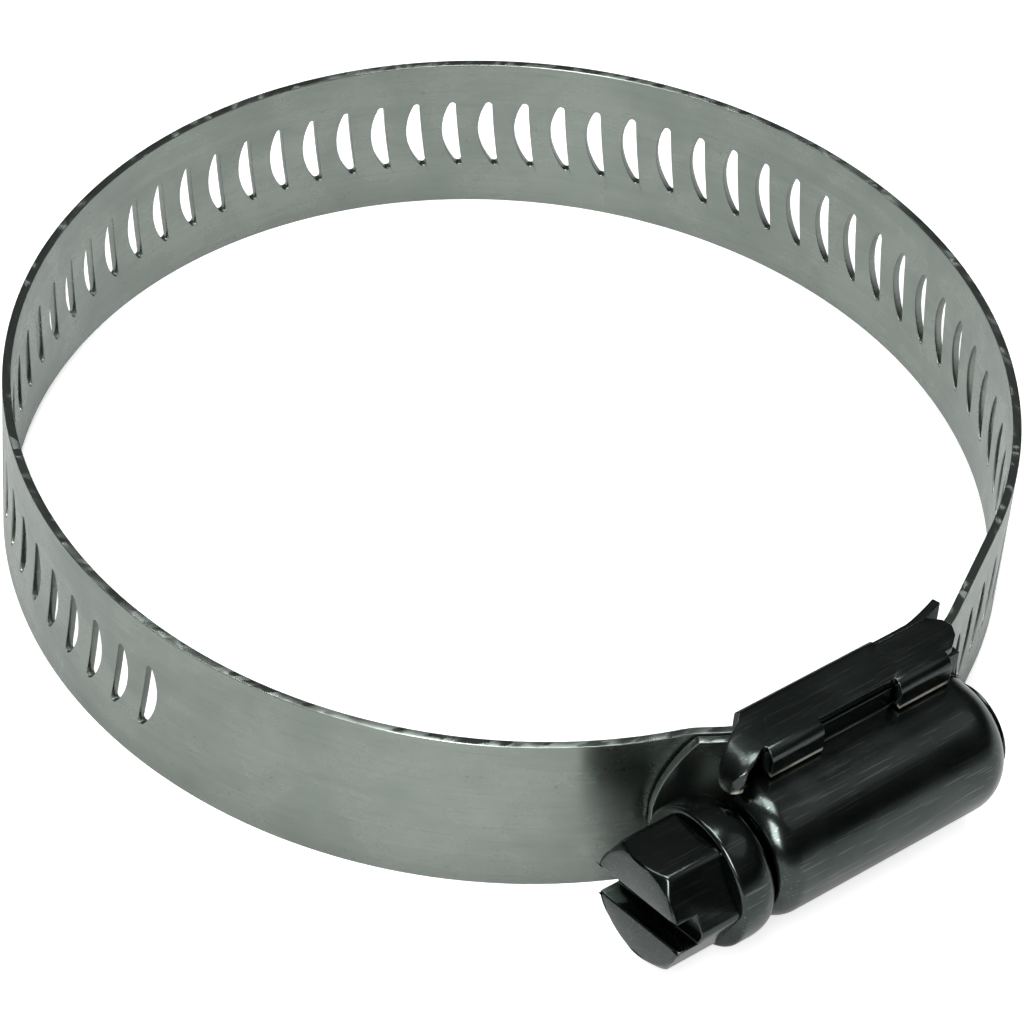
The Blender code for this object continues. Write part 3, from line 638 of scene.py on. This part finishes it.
def painted_dark_metal(name, finishes, grain, handling, along, lift, gloss_shift, tips=None):
    """Polished steel whose colour is painted near-black, as painted shade of the dark room it
    reflects; along is the turn that lays the grain along the piece.
    """
    metal = Metal(name)
    place = metal.coordinates()
    lines = metal.group(grain, metal.stretched(place, (1.0, 1.0, 1.0), along))
    marks = metal.group(handling, place, Amount=0.5)
    body = metal.body(lines, marks)
    pale = tuple(lift * value for value in finishes.painted_dark_pale)
    colour = metal.mixed(body, finishes.painted_dark_deep, pale)
    nicks = metal.math("MAXIMUM", marks["Specks"], marks["Scratches"])
    bright = metal.math("MULTIPLY", nicks, SCRATCH_SHADE)
    # Painted highlight: the ear tips are made bright and less metallic to stand for the light they
    # catch
    if tips:
        tip_highlight = painted_tip_highlight(metal, place, *tips)
        metal.set("Metallic", metal.ranged(tip_highlight, low=1.0, high=0.3))
        bright = metal.math("MAXIMUM", bright, tip_highlight)
    metal.set("Base Color", metal.mixed(bright, colour, finishes.worn_edge_and_highlight))
    gloss = finishes.painted_dark_gloss + gloss_shift
    metal.set("Roughness", metal.ranged(body, low=gloss - GLOSSIER, high=gloss + DULLER))
    metal.set_relief(lines, nicks, strength=0.10, distance=0.00001)


def worn_and_highlit_edge_metal(finishes, rubbed):
    """Rounded edges of the steel painted dark: partly real wear, partly a painted highlight where
    they catch the light.
    """
    metal = Metal("rubbed dark edge")
    wear_glint_mask = metal.group(rubbed, metal.coordinates())["Rubbed"]
    metal.set("Base Color", metal.mixed(wear_glint_mask, finishes.painted_dark_pale, finishes.worn_edge_and_highlight))
    metal.set("Roughness", metal.ranged(wear_glint_mask, low=0.28, high=0.42))
    metal.set("Metallic", metal.ranged(wear_glint_mask, low=1.0, high=0.75))


def finish_named(name):
    """A finish by its material's name; all of them are made the first time."""
    if name not in bpy.data.materials:
        scene = bpy.context.scene
        finishes = scene.clamp_finishes
        grain, handling, rubbed = rolled_grain_group(), handling_group(), wear_and_glint_group()
        strip_metal(finishes, grain, handling)
        shaded_strip_edge_metal(finishes, rubbed)
        painted_dark_metal("dark steel saddle", finishes, grain, handling, along=0.0, lift=0.9,
                   gloss_shift=0.02, tips=(rubbed, Layers(scene)))
        painted_dark_metal("dark steel housing", finishes, grain, handling, along=0.0, lift=0.95,
                   gloss_shift=0.0)
        painted_dark_metal("dark steel screw", finishes, grain, handling, along=1.3, lift=0.8,
                   gloss_shift=-0.04)
        worn_and_highlit_edge_metal(finishes, rubbed)
    return bpy.data.materials[name]


# The band

class Route:
    """The band's middle line seen from above, as straight runs and arcs, walked by length."""

    def __init__(self, start, heading):
        self.point = Vector(start)
        self.heading = heading
        self.length = 0.0
        self.runs = []

    def run(self, length, curve=0.0):
        """A straight run, or an arc if it has a curvature, which is negative to the right."""
        self.runs.append((self.length, self.point, self.heading, curve))
        self.point = self.along(self.length + length)[0]
        self.heading += curve * length
        self.length += length

    def arc(self, radius, turn):
        """A turn of positive angle bends to the right, towards the bore."""
        length = radius * abs(turn)
        self.run(length, -turn / length)

    def along(self, distance):
        """The point at a distance from the route's start, and its outward normal."""
        run = self.runs[0]
        for candidate in self.runs:
            if candidate[0] <= distance + ON_THE_MARK:
                run = candidate
        begin, origin, heading, curve = run
        step = distance - begin
        turned = heading + curve * step
        if curve:
            offset = Vector((math.sin(turned) - math.sin(heading),
                             math.cos(heading) - math.cos(turned))) / curve
        else:
            offset = step * Vector((math.cos(heading), math.sin(heading)))
        return origin + offset, Vector((-math.sin(turned), math.cos(turned)))


def band_route(band, layers):
    """From the anchored end, round the bore, through the housing and out to the tail."""
    ring, step = layers.ring, layers.step
    join_out = Vector((-math.sin(band.join_angle), -math.cos(band.join_angle)))
    ramp_out = Vector((-math.sin(band.ramp_angle), -math.cos(band.ramp_angle)))
    join_start = (ring + band.join_bend) * join_out - band.join_bend * ramp_out
    ramp_end_y = -layers.fixed + band.ramp_bend * (1.0 - math.cos(band.ramp_angle))
    ramp_length = (join_start.y - ramp_end_y) / math.sin(band.ramp_angle)
    ramp_start_x = (join_start.x + ramp_length * math.cos(band.ramp_angle)
                    + band.ramp_bend * math.sin(band.ramp_angle))
    side = layers.free - band.entry_bend
    reach = math.hypot(band.entry_flat, side)
    entry_angle = (math.atan2(band.entry_flat, side)
                   + math.acos((ring - band.entry_bend) / reach))
    entry_out = Vector((math.sin(entry_angle), -math.cos(entry_angle)))
    bend_start = Vector((band.entry_flat, -side)) + band.entry_bend * entry_out

    route = Route((band.fixed_end, -layers.fixed), HALF_TURN)
    route.run(band.fixed_end - ramp_start_x)
    route.arc(band.ramp_bend, band.ramp_angle)
    route.run(ramp_length)
    route.arc(band.join_bend, band.join_angle - band.ramp_angle)
    route.arc(ring, FULL_TURN - band.join_angle - entry_angle)
    route.run((ring * entry_out - bend_start).length)
    route.arc(band.entry_bend, entry_angle)
    centre = route.length + band.entry_flat
    route.run(band.entry_flat - ramp_start_x)
    route.arc(band.ramp_bend + step, band.ramp_angle)
    route.run(ramp_length)
    route.arc(band.join_bend - step, band.join_angle - band.ramp_angle)
    tail_angle = math.asin(band.tail / (ring + step))
    route.arc(ring + step, tail_angle - band.join_angle)
    return route, centre


def slot_outline(band, layers):
    """Points of one slot, from the middle of its flat side and up; x runs against the route."""
    corner = band.slot_corner
    end_x, end_z = corner - band.slot_flat, band.slot_length / 2 - corner
    offset = end_x - band.slot_bulge
    radius = (corner ** 2 - offset ** 2 - end_z ** 2) / (2.0 * (offset + corner))
    meet = math.asin(end_z / (radius - corner))
    upper = [(-band.slot_flat + band.slot_hollow * (1.0 - share ** 2), share * end_z)
             for share in HOLLOW_SHARES]
    upper += [(end_x + corner * math.cos(angle), end_z + corner * math.sin(angle))
              for angle in spread(HALF_TURN, meet, 4)]
    upper += [(band.slot_bulge + radius * (math.cos(angle) - 1.0), radius * math.sin(angle))
              for angle in spread(meet, 0.0, 6)[1:-1]]
    lower = [(x, -z) for x, z in reversed(upper)]
    outline = [(band.slot_hollow - band.slot_flat, 0.0), *upper, (band.slot_bulge, 0.0), *lower]
    slope = band.slot_pitch / (FULL_TURN * (layers.axis - layers.free))
    return [(x + z * slope, z) for x, z in outline]


def cell_border(band, layers):
    """The border of one slot's cell, with a corner for each point of the slot's outline."""
    half = band.slot_pitch / 2
    inner, middle, outer, top = (layers.half * share for share in LEVEL_SHARES)
    upper = [(-half, inner), (-half, middle), (-half, outer), (-half, top), (-half / 2, top),
             (0.0, top), (half / 2, top), (half, top), (half, outer), (half, outer),
             (half, middle), (half, inner)]
    lower = [(x, -z) for x, z in reversed(upper)]
    return [(-half, 0.0), *upper, (half, 0.0), *lower]


def band_mesh(band, layers, route):
    """The strip's middle surface, with its distance and height kept as a map."""
    shape = bmesh.new()
    strip_map = shape.loops.layers.uv.new(STRIP_MAP)
    made = {}

    def vertex(distance, height):
        key = (round(distance, 8), round(height, 8))
        if key not in made:
            point, _ = route.along(distance)
            made[key] = (shape.verts.new((point.x, point.y, height)), key)
        return made[key]

    def face(corners):
        new = shape.faces.new([vert for vert, _ in corners])
        for loop, (_, place) in zip(new.loops, corners):
            loop[strip_map].uv = place

    levels = [layers.half * share for share in LEVEL_SHARES]
    levels = [-level for level in reversed(levels)] + [0.0] + levels

    def column_pair(first, second, first_levels, second_levels):
        for low, high, low_after, high_after in zip(first_levels, first_levels[1:],
                                                    second_levels, second_levels[1:]):
            face((vertex(first, low), vertex(second, low_after), vertex(second, high_after),
                  vertex(first, high)))

    def plain_columns(start, end):
        steps = max(1, round((end - start) / (band.slot_pitch / 4)))
        marks = spread(start, end, steps)
        for first, second in zip(marks, marks[1:]):
            column_pair(first, second, levels, levels)

    count = int((route.length - band.last_margin - band.first_slot) / band.slot_pitch) + 1
    places = [band.first_slot + index * band.slot_pitch for index in range(count)]
    outline, border = slot_outline(band, layers), cell_border(band, layers)
    plain_columns(0.0, places[0] - band.slot_pitch / 2)
    for place in places:
        inner = [vertex(place - x, z) for x, z in outline]
        outer = [vertex(place - x, z) for x, z in border]
        for index in range(len(border)):
            after = (index + 1) % len(border)
            corners = [outer[index], outer[after], inner[after], inner[index]]
            if outer[index] == outer[after]:
                corners.pop(0)
            face(corners)

    tip = band.tip_radius
    tip_start = route.length - tip + math.sqrt(tip ** 2 - layers.half ** 2)
    plain_columns(places[-1] + band.slot_pitch / 2, tip_start)
    full_turn = math.asin(layers.half / tip)
    before, before_levels = tip_start, levels
    for share in spread(0.91, 0.1, 9):
        distance = route.length - tip * (1.0 - math.cos(full_turn * share))
        scale = tip * math.sin(full_turn * share) / layers.half
        tip_levels = [scale * level for level in levels]
        column_pair(before, distance, before_levels, tip_levels)
        before, before_levels = distance, tip_levels
    return mesh_of("band strip", shape)


class CLAMP_OT_band(bpy.types.Operator):
    """Builds the perforated strip along its way round the bore and through the head"""

    bl_idname = "clamp.band"
    bl_label = "Build the band"

    def execute(self, context):
        band, layers = context.scene.clamp_band, Layers(context.scene)
        route, _ = band_route(band, layers)
        piece = sheet_piece("perforated_band", band_mesh(band, layers, route), band.thickness,
                            band.edge_round, ("satin stainless strip", "sheared strip edge"),
                            mirrored=False, rim_slot=EDGE_FINISH_SLOT)
        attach(piece, "clamp")
        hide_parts("band")
        return {"FINISHED"}


# The saddle

def saddle_section(head, layers):
    """Half of the saddle's section as (distance from the bore's axis, z), and its marks."""
    bottom = (layers.wall - head.bend, layers.saddle + head.bend)
    top = (layers.wall - head.ear_bend, layers.ear - head.ear_bend)
    points = [(z, layers.saddle) for z in spread(0.0, BASE_SHARE * layers.half, 3)]
    marks = {"edge": len(points)}
    points += arc_points(bottom, head.bend, -90.0, 0.0, 6)
    marks["foot"] = len(points) - 1
    points += [(layers.wall, out) for out in spread(bottom[1], top[1], 4)[1:-1]]
    marks["centre"] = marks["foot"] + 2
    marks["top"] = len(points)
    points += arc_points(top, head.ear_bend, 0.0, 90.0, 8)
    points.append(((layers.ear_tip + top[0]) / 2, layers.ear))
    points.append((layers.ear_tip, layers.ear))
    return [(out, z) for z, out in points], marks


def lug_front(head, layers, section, marks):
    """The lug's front edge: it leaves the wall, curves in and ends beside the barrel."""
    front, foot = -head.flat / 2, marks["foot"]
    base = section[foot][0]
    edge = [(front, out, z) for out, z in section[:foot]]
    edge.append((front - LUG_FOOT * head.lug_reach, base, layers.wall))
    for share in spread(0.0, 1.0, len(section) - 1 - foot)[1:]:
        forward = head.lug_reach * math.sin(0.5 * HALF_TURN * min(1.0, LUG_HASTE * share))
        curled = 0.5 - 0.5 * math.cos(HALF_TURN * min(1.0, share / LUG_CURLED_AT))
        inward = (layers.wall - layers.ear_tip) * curled ** LUG_CURL_POWER
        rise = (layers.ear - base) * share ** LUG_RISE_POWER
        edge.append((front - forward, base + rise, layers.wall - inward))
    return edge


def lug_rear(head, section, marks):
    """The lug's rear edge: it runs forward as it curves in, and leaves a gap before the ear."""
    front = -head.flat / 2
    start = head.ear_front - head.lug_cut
    tip = front - head.lug_reach + head.lug_tip
    places = [front + head.lug_root] * marks["centre"]
    places += spread(0.5 * (front + start), start, marks["top"] - marks["centre"])[:-1]
    places += spread(start, tip, len(section) - 1 - marks["top"])
    return [(x, out, z) for x, (out, z) in zip(places, section)]


def curled_between(front, rear, share):
    """A point between the lug's edges; the sheet curls in more and more towards its front."""
    x, out, _ = between(front, rear, share)
    return x, out, rear[2] + (front[2] - rear[2]) * (1.0 - share) ** 2


def wall_end(head, section, marks):
    """The rounded rear end of the walls."""
    end = [(head.back, out, z) for out, z in section]
    foot, top = section[marks["foot"]][0], section[marks["top"]][0]
    for index in range(marks["foot"], marks["top"] + 1):
        height = (section[index][0] - foot) / (top - foot)
        push = head.wall_bulge * (1.0 - (2.0 * height - 1.0) ** 2) - head.wall_draw * height
        end[index] = (head.back + push, *section[index])
    return end


def saddle_rows(head, layers, section, marks):
    """The saddle's columns from front to back, each with what is kept behind it."""
    front, rear = lug_front(head, layers, section, marks), lug_rear(head, section, marks)
    rows = [([curled_between(a, b, share) for a, b in zip(front, rear)], True, True)
            for share in spread(0.0, 1.0, 9)[:-1]]

    def plain(place):
        return [(place, out, z) for out, z in section]

    ear_start = plain(head.ear_front)
    for index in range(marks["top"]):
        ear_start[index] = (rear[index][0] + head.lug_root, *section[index])
    # Where each run ends, its steps, and whether the wall and the ear are there along it
    runs = (
        (ear_start, 1, True, False),
        (plain(head.ear_front + head.ear_width), 2, True, True),
        (plain(head.ear_rear - head.ear_gap), 2, True, False),
        (plain(head.ear_rear), 2, True, False),
        (plain(head.relief), 1, True, True),
        (plain(head.relief + head.relief_width), 1, False, True),
        (plain(head.ear_rear + head.ear_width), 2, False, True),
        (wall_end(head, section, marks), 2, False, False),
        (plain(head.tongue_end), 8, False, False),
    )
    before = rear
    for after, steps, wall, ear in runs:
        last_run = len(rows)
        for share in spread(0.0, 1.0, steps)[:-1]:
            rows.append(([between(a, b, share) for a, b in zip(before, after)], wall, ear))
        before = after
    rows.append((before, False, False))
    return rows, last_run


def bent_tongue(head, row, edge):
    """Behind the relief cut the base is a tongue, which bends with the ring towards its end."""
    bent = list(row)
    for index in range(edge + 1):
        x, out, z = row[index]
        share = max(0.0, (x - head.tongue_start) / (head.tongue_end - head.tongue_start))
        if index == edge:
            z = head.tongue_width / 2
        bent[index] = (x, out - head.tongue_drop * share ** TONGUE_POWER, z)
    return bent


def saddle_mesh(head, layers):
    section, marks = saddle_section(head, layers)
    rows, tongue_row = saddle_rows(head, layers, section, marks)
    columns = []
    for row, _, _ in rows:
        if row[marks["edge"]][0] > head.relief + 0.5 * head.relief_width:
            row = bent_tongue(head, row, marks["edge"])
        columns.append([(x, -out, z) for x, out, z in row])

    def keep(i, j):
        _, wall, ear = rows[i]
        if j < marks["edge"]:
            return True
        if i >= tongue_row or (j < marks["foot"] and not wall):
            return False
        return j < marks["top"] or ear

    return sheet_grid("saddle sheet", columns, keep)


class CLAMP_OT_saddle(bpy.types.Operator):
    """Builds the folded saddle with its curved lugs and its ears"""

    bl_idname = "clamp.saddle"
    bl_label = "Build the saddle"

    def execute(self, context):
        head = context.scene.clamp_head
        mesh = saddle_mesh(head, Layers(context.scene))
        piece = sheet_piece("folded_saddle", mesh, head.sheet, head.ear_round,
                            ("dark steel saddle", "rubbed dark edge"))
        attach(piece, "clamp")
        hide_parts("saddle")
        return {"FINISHED"}


# The housing

def rim_stations(end, side, radius, full, turns):
    """A rim that turns in, as (place along X, radius of the barrel there)."""
    return [(end + side * radius * (1.0 - math.sin(turn)), full - radius * (1.0 - math.cos(turn)))
            for turn in turns]


def housing_mesh(head, layers):
    """The barrel over the worm, rounded in at both ends, with a flange along each side."""
    full = head.barrel_radius - head.housing_sheet / 2
    stations = rim_stations(head.barrel_front, 1.0, head.front_round, full,
                            spread(head.front_turn, 0.0, 8))
    stations += [(along, full) for along in spread(head.flange_front, head.straight_end, 6)]
    stations += rim_stations(head.barrel_rear, -1.0, head.rear_round, full,
                             spread(0.0, head.rear_turn, 11)[1:])
    flanged = [head.flange_front <= along <= head.flange_rear for along, _ in stations]
    barrel_steps = 24
    columns = []
    for along, radius in stations:
        points = arc_points((0.0, layers.axis), radius, 90.0, 0.0, barrel_steps)
        hollow = (radius + head.flange_bend, layers.flange + head.flange_bend)
        points += arc_points(hollow, head.flange_bend, 180.0, 270.0, 6)
        points.append((layers.half, layers.flange))
        columns.append([(along, -out, z) for z, out in points])

    def keep(i, j):
        return j <= barrel_steps or (flanged[i] and flanged[i + 1])

    return sheet_grid("housing sheet", columns, keep)


class CLAMP_OT_housing(bpy.types.Operator):
    """Builds the pressed housing, a barrel with two flanges"""

    bl_idname = "clamp.housing"
    bl_label = "Build the housing"

    def execute(self, context):
        head = context.scene.clamp_head
        mesh = housing_mesh(head, Layers(context.scene))
        piece = sheet_piece("pressed_housing", mesh, head.housing_sheet, head.edge_round,
                            ("dark steel housing", "rubbed dark edge"))
        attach(piece, "clamp")
        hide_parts("housing")
        return {"FINISHED"}


# The worm screw

def turned(name, points, steps):
    """A solid turned about its local Z from (radius, height) points that run from the top down."""
    shape = bmesh.new()
    verts = [shape.verts.new((radius, 0.0, height)) for radius, height in points]
    for first, second in zip(verts, verts[1:]):
        shape.edges.new((first, second))
    mesh = bpy.data.meshes.new(name)
    shape.to_mesh(mesh)
    shape.free()
    item = plain_object(name, mesh)
    add_modifier(item, "turned", "SCREW", steps=steps, render_steps=steps,
                 use_merge_vertices=True, merge_threshold=WELD_DISTANCE, use_smooth_shade=True)
    return item


def lofted(name, sections):
    """A closed solid through a list of closed sections, with a face at each end."""
    shape = bmesh.new()
    rings = [[shape.verts.new(point) for point in section] for section in sections]
    for ring, after in zip(rings, rings[1:]):
        for index in range(len(ring)):
            following = (index + 1) % len(ring)
            shape.faces.new((ring[index], ring[following], after[following], after[index]))
    shape.faces.new(list(reversed(rings[0])))
    shape.faces.new(rings[-1])
    return plain_object(name, mesh_of(name, shape))


def softened(points, size):
    """A profile whose corners are cut back by a small chamfer of the given size."""
    soft = [points[0]]
    for before, here, after in zip(points, points[1:], points[2:]):
        back, ahead = Vector(before) - Vector(here), Vector(after) - Vector(here)
        turn = back.angle(-ahead) if back.length and ahead.length else 0.0
        cut = min(size, SOFT_LIMIT * back.length, SOFT_LIMIT * ahead.length)
        if turn > SOFT_CORNER and here[0] > 0.0:
            for first, second in SOFT_CUT:
                soft.append(tuple(Vector(here) + back.normalized() * cut * first
                                  + ahead.normalized() * cut * second))
        else:
            soft.append(here)
    soft.append(points[-1])
    return soft


def screw_profile(screw):
    """The turned outline of the screw, from its tip back to inside the hexagon."""
    button_back = screw.button_front + screw.button_thickness
    points = [(0.0, button_back + JOINT_OVERLAP)]
    points += [(share * screw.button, button_back - drop * screw.button_thickness)
               for share, drop in BUTTON_DOME]
    points += [
        (screw.button, screw.button_front),
        (screw.journal, screw.button_front),
        (screw.journal, screw.journal_front),
        (screw.root, screw.journal_front - JOINT_OVERLAP),
        (screw.root, screw.neck_rear + screw.neck_slope),
        (screw.neck, screw.neck_rear),
        (screw.neck, screw.collar_rear),
        (screw.collar_back, screw.collar_rear),
    ]
    bulge = screw.collar - screw.collar_back
    points += [(screw.collar_back + bulge * math.sin(angle),
                screw.collar_rear - screw.collar_bulge * (1.0 - math.cos(angle)))
               for angle in spread(0.0, 0.5 * HALF_TURN, 6)[1:]]
    edge = screw.collar_edge
    points += [(screw.collar - edge * (1.0 - math.cos(angle)),
                screw.collar_front + edge * (1.0 - math.sin(angle)))
               for angle in spread(0.0, 0.5 * HALF_TURN, 4)]
    stub = STUB_SHARE * screw.across_flats
    points += [
        (0.5 * screw.across_flats, screw.collar_front - JOINT_OVERLAP),
        (stub, screw.collar_front - JOINT_OVERLAP),
        (stub, screw.collar_front - STUB_LENGTH),
        (0.0, screw.collar_front - STUB_LENGTH),
    ]
    return points


def thread_sections(screw, layers, pitch, phase):
    """Sections of the ridge along its helix; it fades in and out over part of a turn."""
    start = FULL_TURN * (screw.thread_front - phase) / pitch
    end = FULL_TURN * (screw.thread_rear - phase) / pitch
    per_turn = screw.turn_steps // 2
    count = round((end - start) / FULL_TURN * per_turn)
    fade = per_turn // 4
    sunk = screw.root - THREAD_SUNK
    sections = []
    for index, turn in enumerate(spread(start, end, count)):
        middle = phase + pitch * turn / FULL_TURN
        share = min(1.0, (index + FADE_START) / fade, (count - index + FADE_START) / fade)
        height = screw.root + (layers.crest - screw.root) * share
        shoulder = height - THREAD_SHOULDER * (height - sunk)
        half = [(sunk, 0.5 * screw.thread_foot), (shoulder, 0.5 * screw.thread_crest),
                (height, THREAD_FLAT * screw.thread_crest)]
        corners = [(radius, -offset) for radius, offset in half] + half[::-1]
        sections.append([(-radius * math.sin(turn), radius * math.cos(turn), middle + offset)
                         for radius, offset in corners])
    return sections


def hexagon(screw):
    """The hexagon with its face turned down to a circle, its driver slot and rounded edges."""
    centre = (screw.across_flats - 2.0 * screw.hex_corner) / math.sqrt(3.0)
    outline = []
    for corner in range(6):
        middle = screw.hex_turn + FULL_TURN * corner / 6
        for angle in spread(middle - FULL_TURN / 12, middle + FULL_TURN / 12, 5):
            outline.append((centre * math.cos(middle) + screw.hex_corner * math.cos(angle),
                            centre * math.sin(middle) + screw.hex_corner * math.sin(angle)))
    ends = (screw.hex_face, screw.collar_front + 2.0 * JOINT_OVERLAP)
    item = lofted("hexagon", [[(x, y, height) for x, y in outline] for height in ends])
    wide, face, face_radius = screw.across_flats, screw.hex_face, screw.hex_face_radius
    slope_end = face + (wide - face_radius) * math.tan(screw.hex_chamfer)
    top = slope_end + wide
    chamfer = turned("chamfer", [(0.0, top), (wide, top), (wide, slope_end),
                                 (face_radius, face), (0.0, face)], screw.turn_steps)
    add_boolean(item, "INTERSECT", chamfer)

    cutter = bmesh.new()
    bmesh.ops.create_cube(cutter, size=1.0)
    size = Matrix.Diagonal((2.0 * wide, screw.slot_width, 2.0 * screw.slot_depth, 1.0))
    turn = Matrix.Rotation(screw.slot_turn, 4, "Z")
    place = Matrix.Translation((0.0, 0.0, face))
    bmesh.ops.transform(cutter, matrix=place @ turn @ size, verts=cutter.verts)
    driver = plain_object("driver slot", mesh_of("driver slot", cutter))
    add_boolean(item, "DIFFERENCE", driver)
    add_rounding(item, screw.edge_round, HEXAGON_EDGE)
    return item, [chamfer, driver]


class CLAMP_OT_screw(bpy.types.Operator):
    """Builds the worm screw with its hexagon, driver slot, collar, thread and end button"""

    bl_idname = "clamp.screw"
    bl_label = "Build the worm screw"

    def execute(self, context):
        scene = context.scene
        band, screw, layers = scene.clamp_band, scene.clamp_screw, Layers(scene)
        _, centre = band_route(band, layers)
        phase = (centre - band.first_slot) % band.slot_pitch + screw.thread_shift
        body = turned("screw", softened(screw_profile(screw), screw.edge_round),
                      screw.turn_steps)
        thread = lofted("thread", thread_sections(screw, layers, band.slot_pitch, phase))
        head, helpers = hexagon(screw)
        finishes = ("dark steel screw", "rubbed dark edge")
        for item in (body, thread, head):
            for finish in finishes:
                item.data.materials.append(finish_named(finish))
        add_boolean(body, "UNION", thread)
        add_boolean(body, "UNION", head)
        body.rotation_euler = (0.0, 0.5 * HALF_TURN, 0.0)
        body.location = (0.0, -layers.axis, 0.0)
        for item in (thread, head, *helpers):
            item.parent = body
        piece = settle(body, "worm_drive_screw", finishes)
        for item in (thread, head, *helpers):
            bpy.data.objects.remove(item, do_unlink=True)
        piece.data.set_sharp_from_angle(angle=SHADING_EDGE)
        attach(piece, "screw")
        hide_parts("worm_screw")
        return {"FINISHED"}


# The studio

def direction(azimuth, elevation):
    """From the object towards a lamp or the camera."""
    return Vector((math.sin(azimuth) * math.cos(elevation),
                   -math.cos(azimuth) * math.cos(elevation), math.sin(elevation)))


def add_softbox(name, power, azimuth, elevation, distance, size, colour):
    """An area lamp that looks at the object from a direction given as for the camera."""
    away = direction(math.radians(azimuth), math.radians(elevation))
    lamp = bpy.data.lights.new(name, "AREA")
    lamp.shape = "RECTANGLE"
    lamp.size, lamp.size_y = size
    lamp.energy = power
    lamp.color = colour
    item = plain_object(name, lamp)
    item.location = away * distance
    item.rotation_euler = away.to_track_quat("Z", "Y").to_euler()


def floor_material(studio):
    """A pale floor that reads as the white background and keeps the object's shadow."""
    material = bpy.data.materials.new("pale studio floor")
    material.use_nodes = True
    tree = material.node_tree
    floor = Nodes(tree, tree.nodes["Principled BSDF"].inputs)
    floor.set("Base Color", studio.floor_colour)
    floor.set("Roughness", 0.9)
    floor.set("Specular IOR Level", 0.0)
    floor.set("Emission Color", (1.0, 1.0, 1.0))
    seen = floor.add("ShaderNodeLightPath", {})["Is Camera Ray"]
    floor.set("Emission Strength", floor.math("MULTIPLY", seen, studio.floor_lift))
    return material


def studio_world(studio):
    """Pale at the horizon and dark overhead, as in a dim room beyond a lit table."""
    world = bpy.data.worlds.new("studio")
    world.use_nodes = True
    room = Nodes(world.node_tree, world.node_tree.nodes["Background"].inputs)
    place = room.add("ShaderNodeTexCoord", {})["Generated"]
    height = room.add("ShaderNodeSeparateXYZ", {"Vector": place})["Z"]
    overhead = room.mask(height, low=0.3, high=0.8)
    upper = room.mixed(overhead, studio.room_colour, studio.ceiling_colour)
    above = room.mask(height, low=0.02, high=0.18)
    room.set("Color", room.mixed(above, studio.horizon_colour, upper))
    return world


def add_camera(studio):
    camera = plain_object("camera", bpy.data.cameras.new("camera"))
    camera.data.lens = studio.lens
    camera.data.sensor_width = SENSOR_WIDTH
    camera.data.shift_x, camera.data.shift_y = (pixels / PHOTO_SIDE for pixels in CENTRE_SHIFT)
    camera.data.clip_start = NEAR_CLIP
    back = direction(studio.azimuth, studio.elevation)
    right = Vector((math.cos(studio.azimuth), math.sin(studio.azimuth), 0.0))
    up = back.cross(right)
    turned_right = math.cos(studio.roll) * right + math.sin(studio.roll) * up
    turned_up = math.cos(studio.roll) * up - math.sin(studio.roll) * right
    placed = Matrix((turned_right, turned_up, back)).transposed().to_4x4()
    placed.translation = Vector((0.0, 0.0, studio.target_height)) + studio.distance * back
    camera.matrix_world = placed
    return camera


class CLAMP_OT_studio(bpy.types.Operator):
    """Lays the pale floor and sets the softboxes and the camera"""

    bl_idname = "clamp.studio"
    bl_label = "Set the studio"

    def execute(self, context):
        scene = context.scene
        studio = scene.clamp_studio
        shape = bmesh.new()
        bmesh.ops.create_grid(shape, x_segments=8, y_segments=8, size=studio.floor_size / 2)
        floor = plain_object("floor", mesh_of("floor", shape))
        floor.location.z = cad_box[0].z - studio.floor_gap
        floor.data.materials.append(floor_material(studio))
        scene.world = studio_world(studio)
        for name, power, *placing in SOFTBOXES:
            add_softbox(name, getattr(studio, power), *placing)
        scene.view_settings.view_transform = "Standard"
        scene.camera = add_camera(studio)
        return {"FINISHED"}


# Panel and registration

GROUPS = (("clamp_band", ClampBandSizes), ("clamp_head", ClampHeadSizes),
          ("clamp_screw", ClampScrewSizes), ("clamp_finishes", ClampFinishes),
          ("clamp_studio", ClampStudio))
OPERATORS = (CLAMP_OT_band, CLAMP_OT_saddle, CLAMP_OT_housing, CLAMP_OT_screw, CLAMP_OT_studio)


class CLAMP_PT_panel(bpy.types.Panel):
    """Lists the clamp's pieces and sizes in the sidebar"""

    bl_idname = "CLAMP_PT_panel"
    bl_label = "Hose clamp"
    bl_space_type = "VIEW_3D"
    bl_region_type = "UI"
    bl_category = "Hose clamp"

    def draw(self, context):
        layout = self.layout
        for operator in OPERATORS:
            layout.operator(operator.bl_idname)
        for name, group in GROUPS:
            box = layout.box()
            box.label(text=name.replace("clamp_", "").capitalize())
            settings = getattr(context.scene, name)
            for entry in group.__annotations__:
                box.prop(settings, entry)


def register():
    for _, group in GROUPS:
        bpy.utils.register_class(group)
    for operator in OPERATORS:
        bpy.utils.register_class(operator)
    bpy.utils.register_class(CLAMP_PT_panel)
    for name, group in GROUPS:
        setattr(bpy.types.Scene, name, PointerProperty(type=group))


def unregister():
    for name, _ in GROUPS:
        delattr(bpy.types.Scene, name)
    bpy.utils.unregister_class(CLAMP_PT_panel)
    for operator in reversed(OPERATORS):
        bpy.utils.unregister_class(operator)
    for _, group in reversed(GROUPS):
        bpy.utils.unregister_class(group)


def main():
    register()
    bpy.ops.clamp.band()
    bpy.ops.clamp.saddle()
    bpy.ops.clamp.housing()
    bpy.ops.clamp.screw()
    bpy.ops.clamp.studio()


if __name__ == "__main__":
    main()
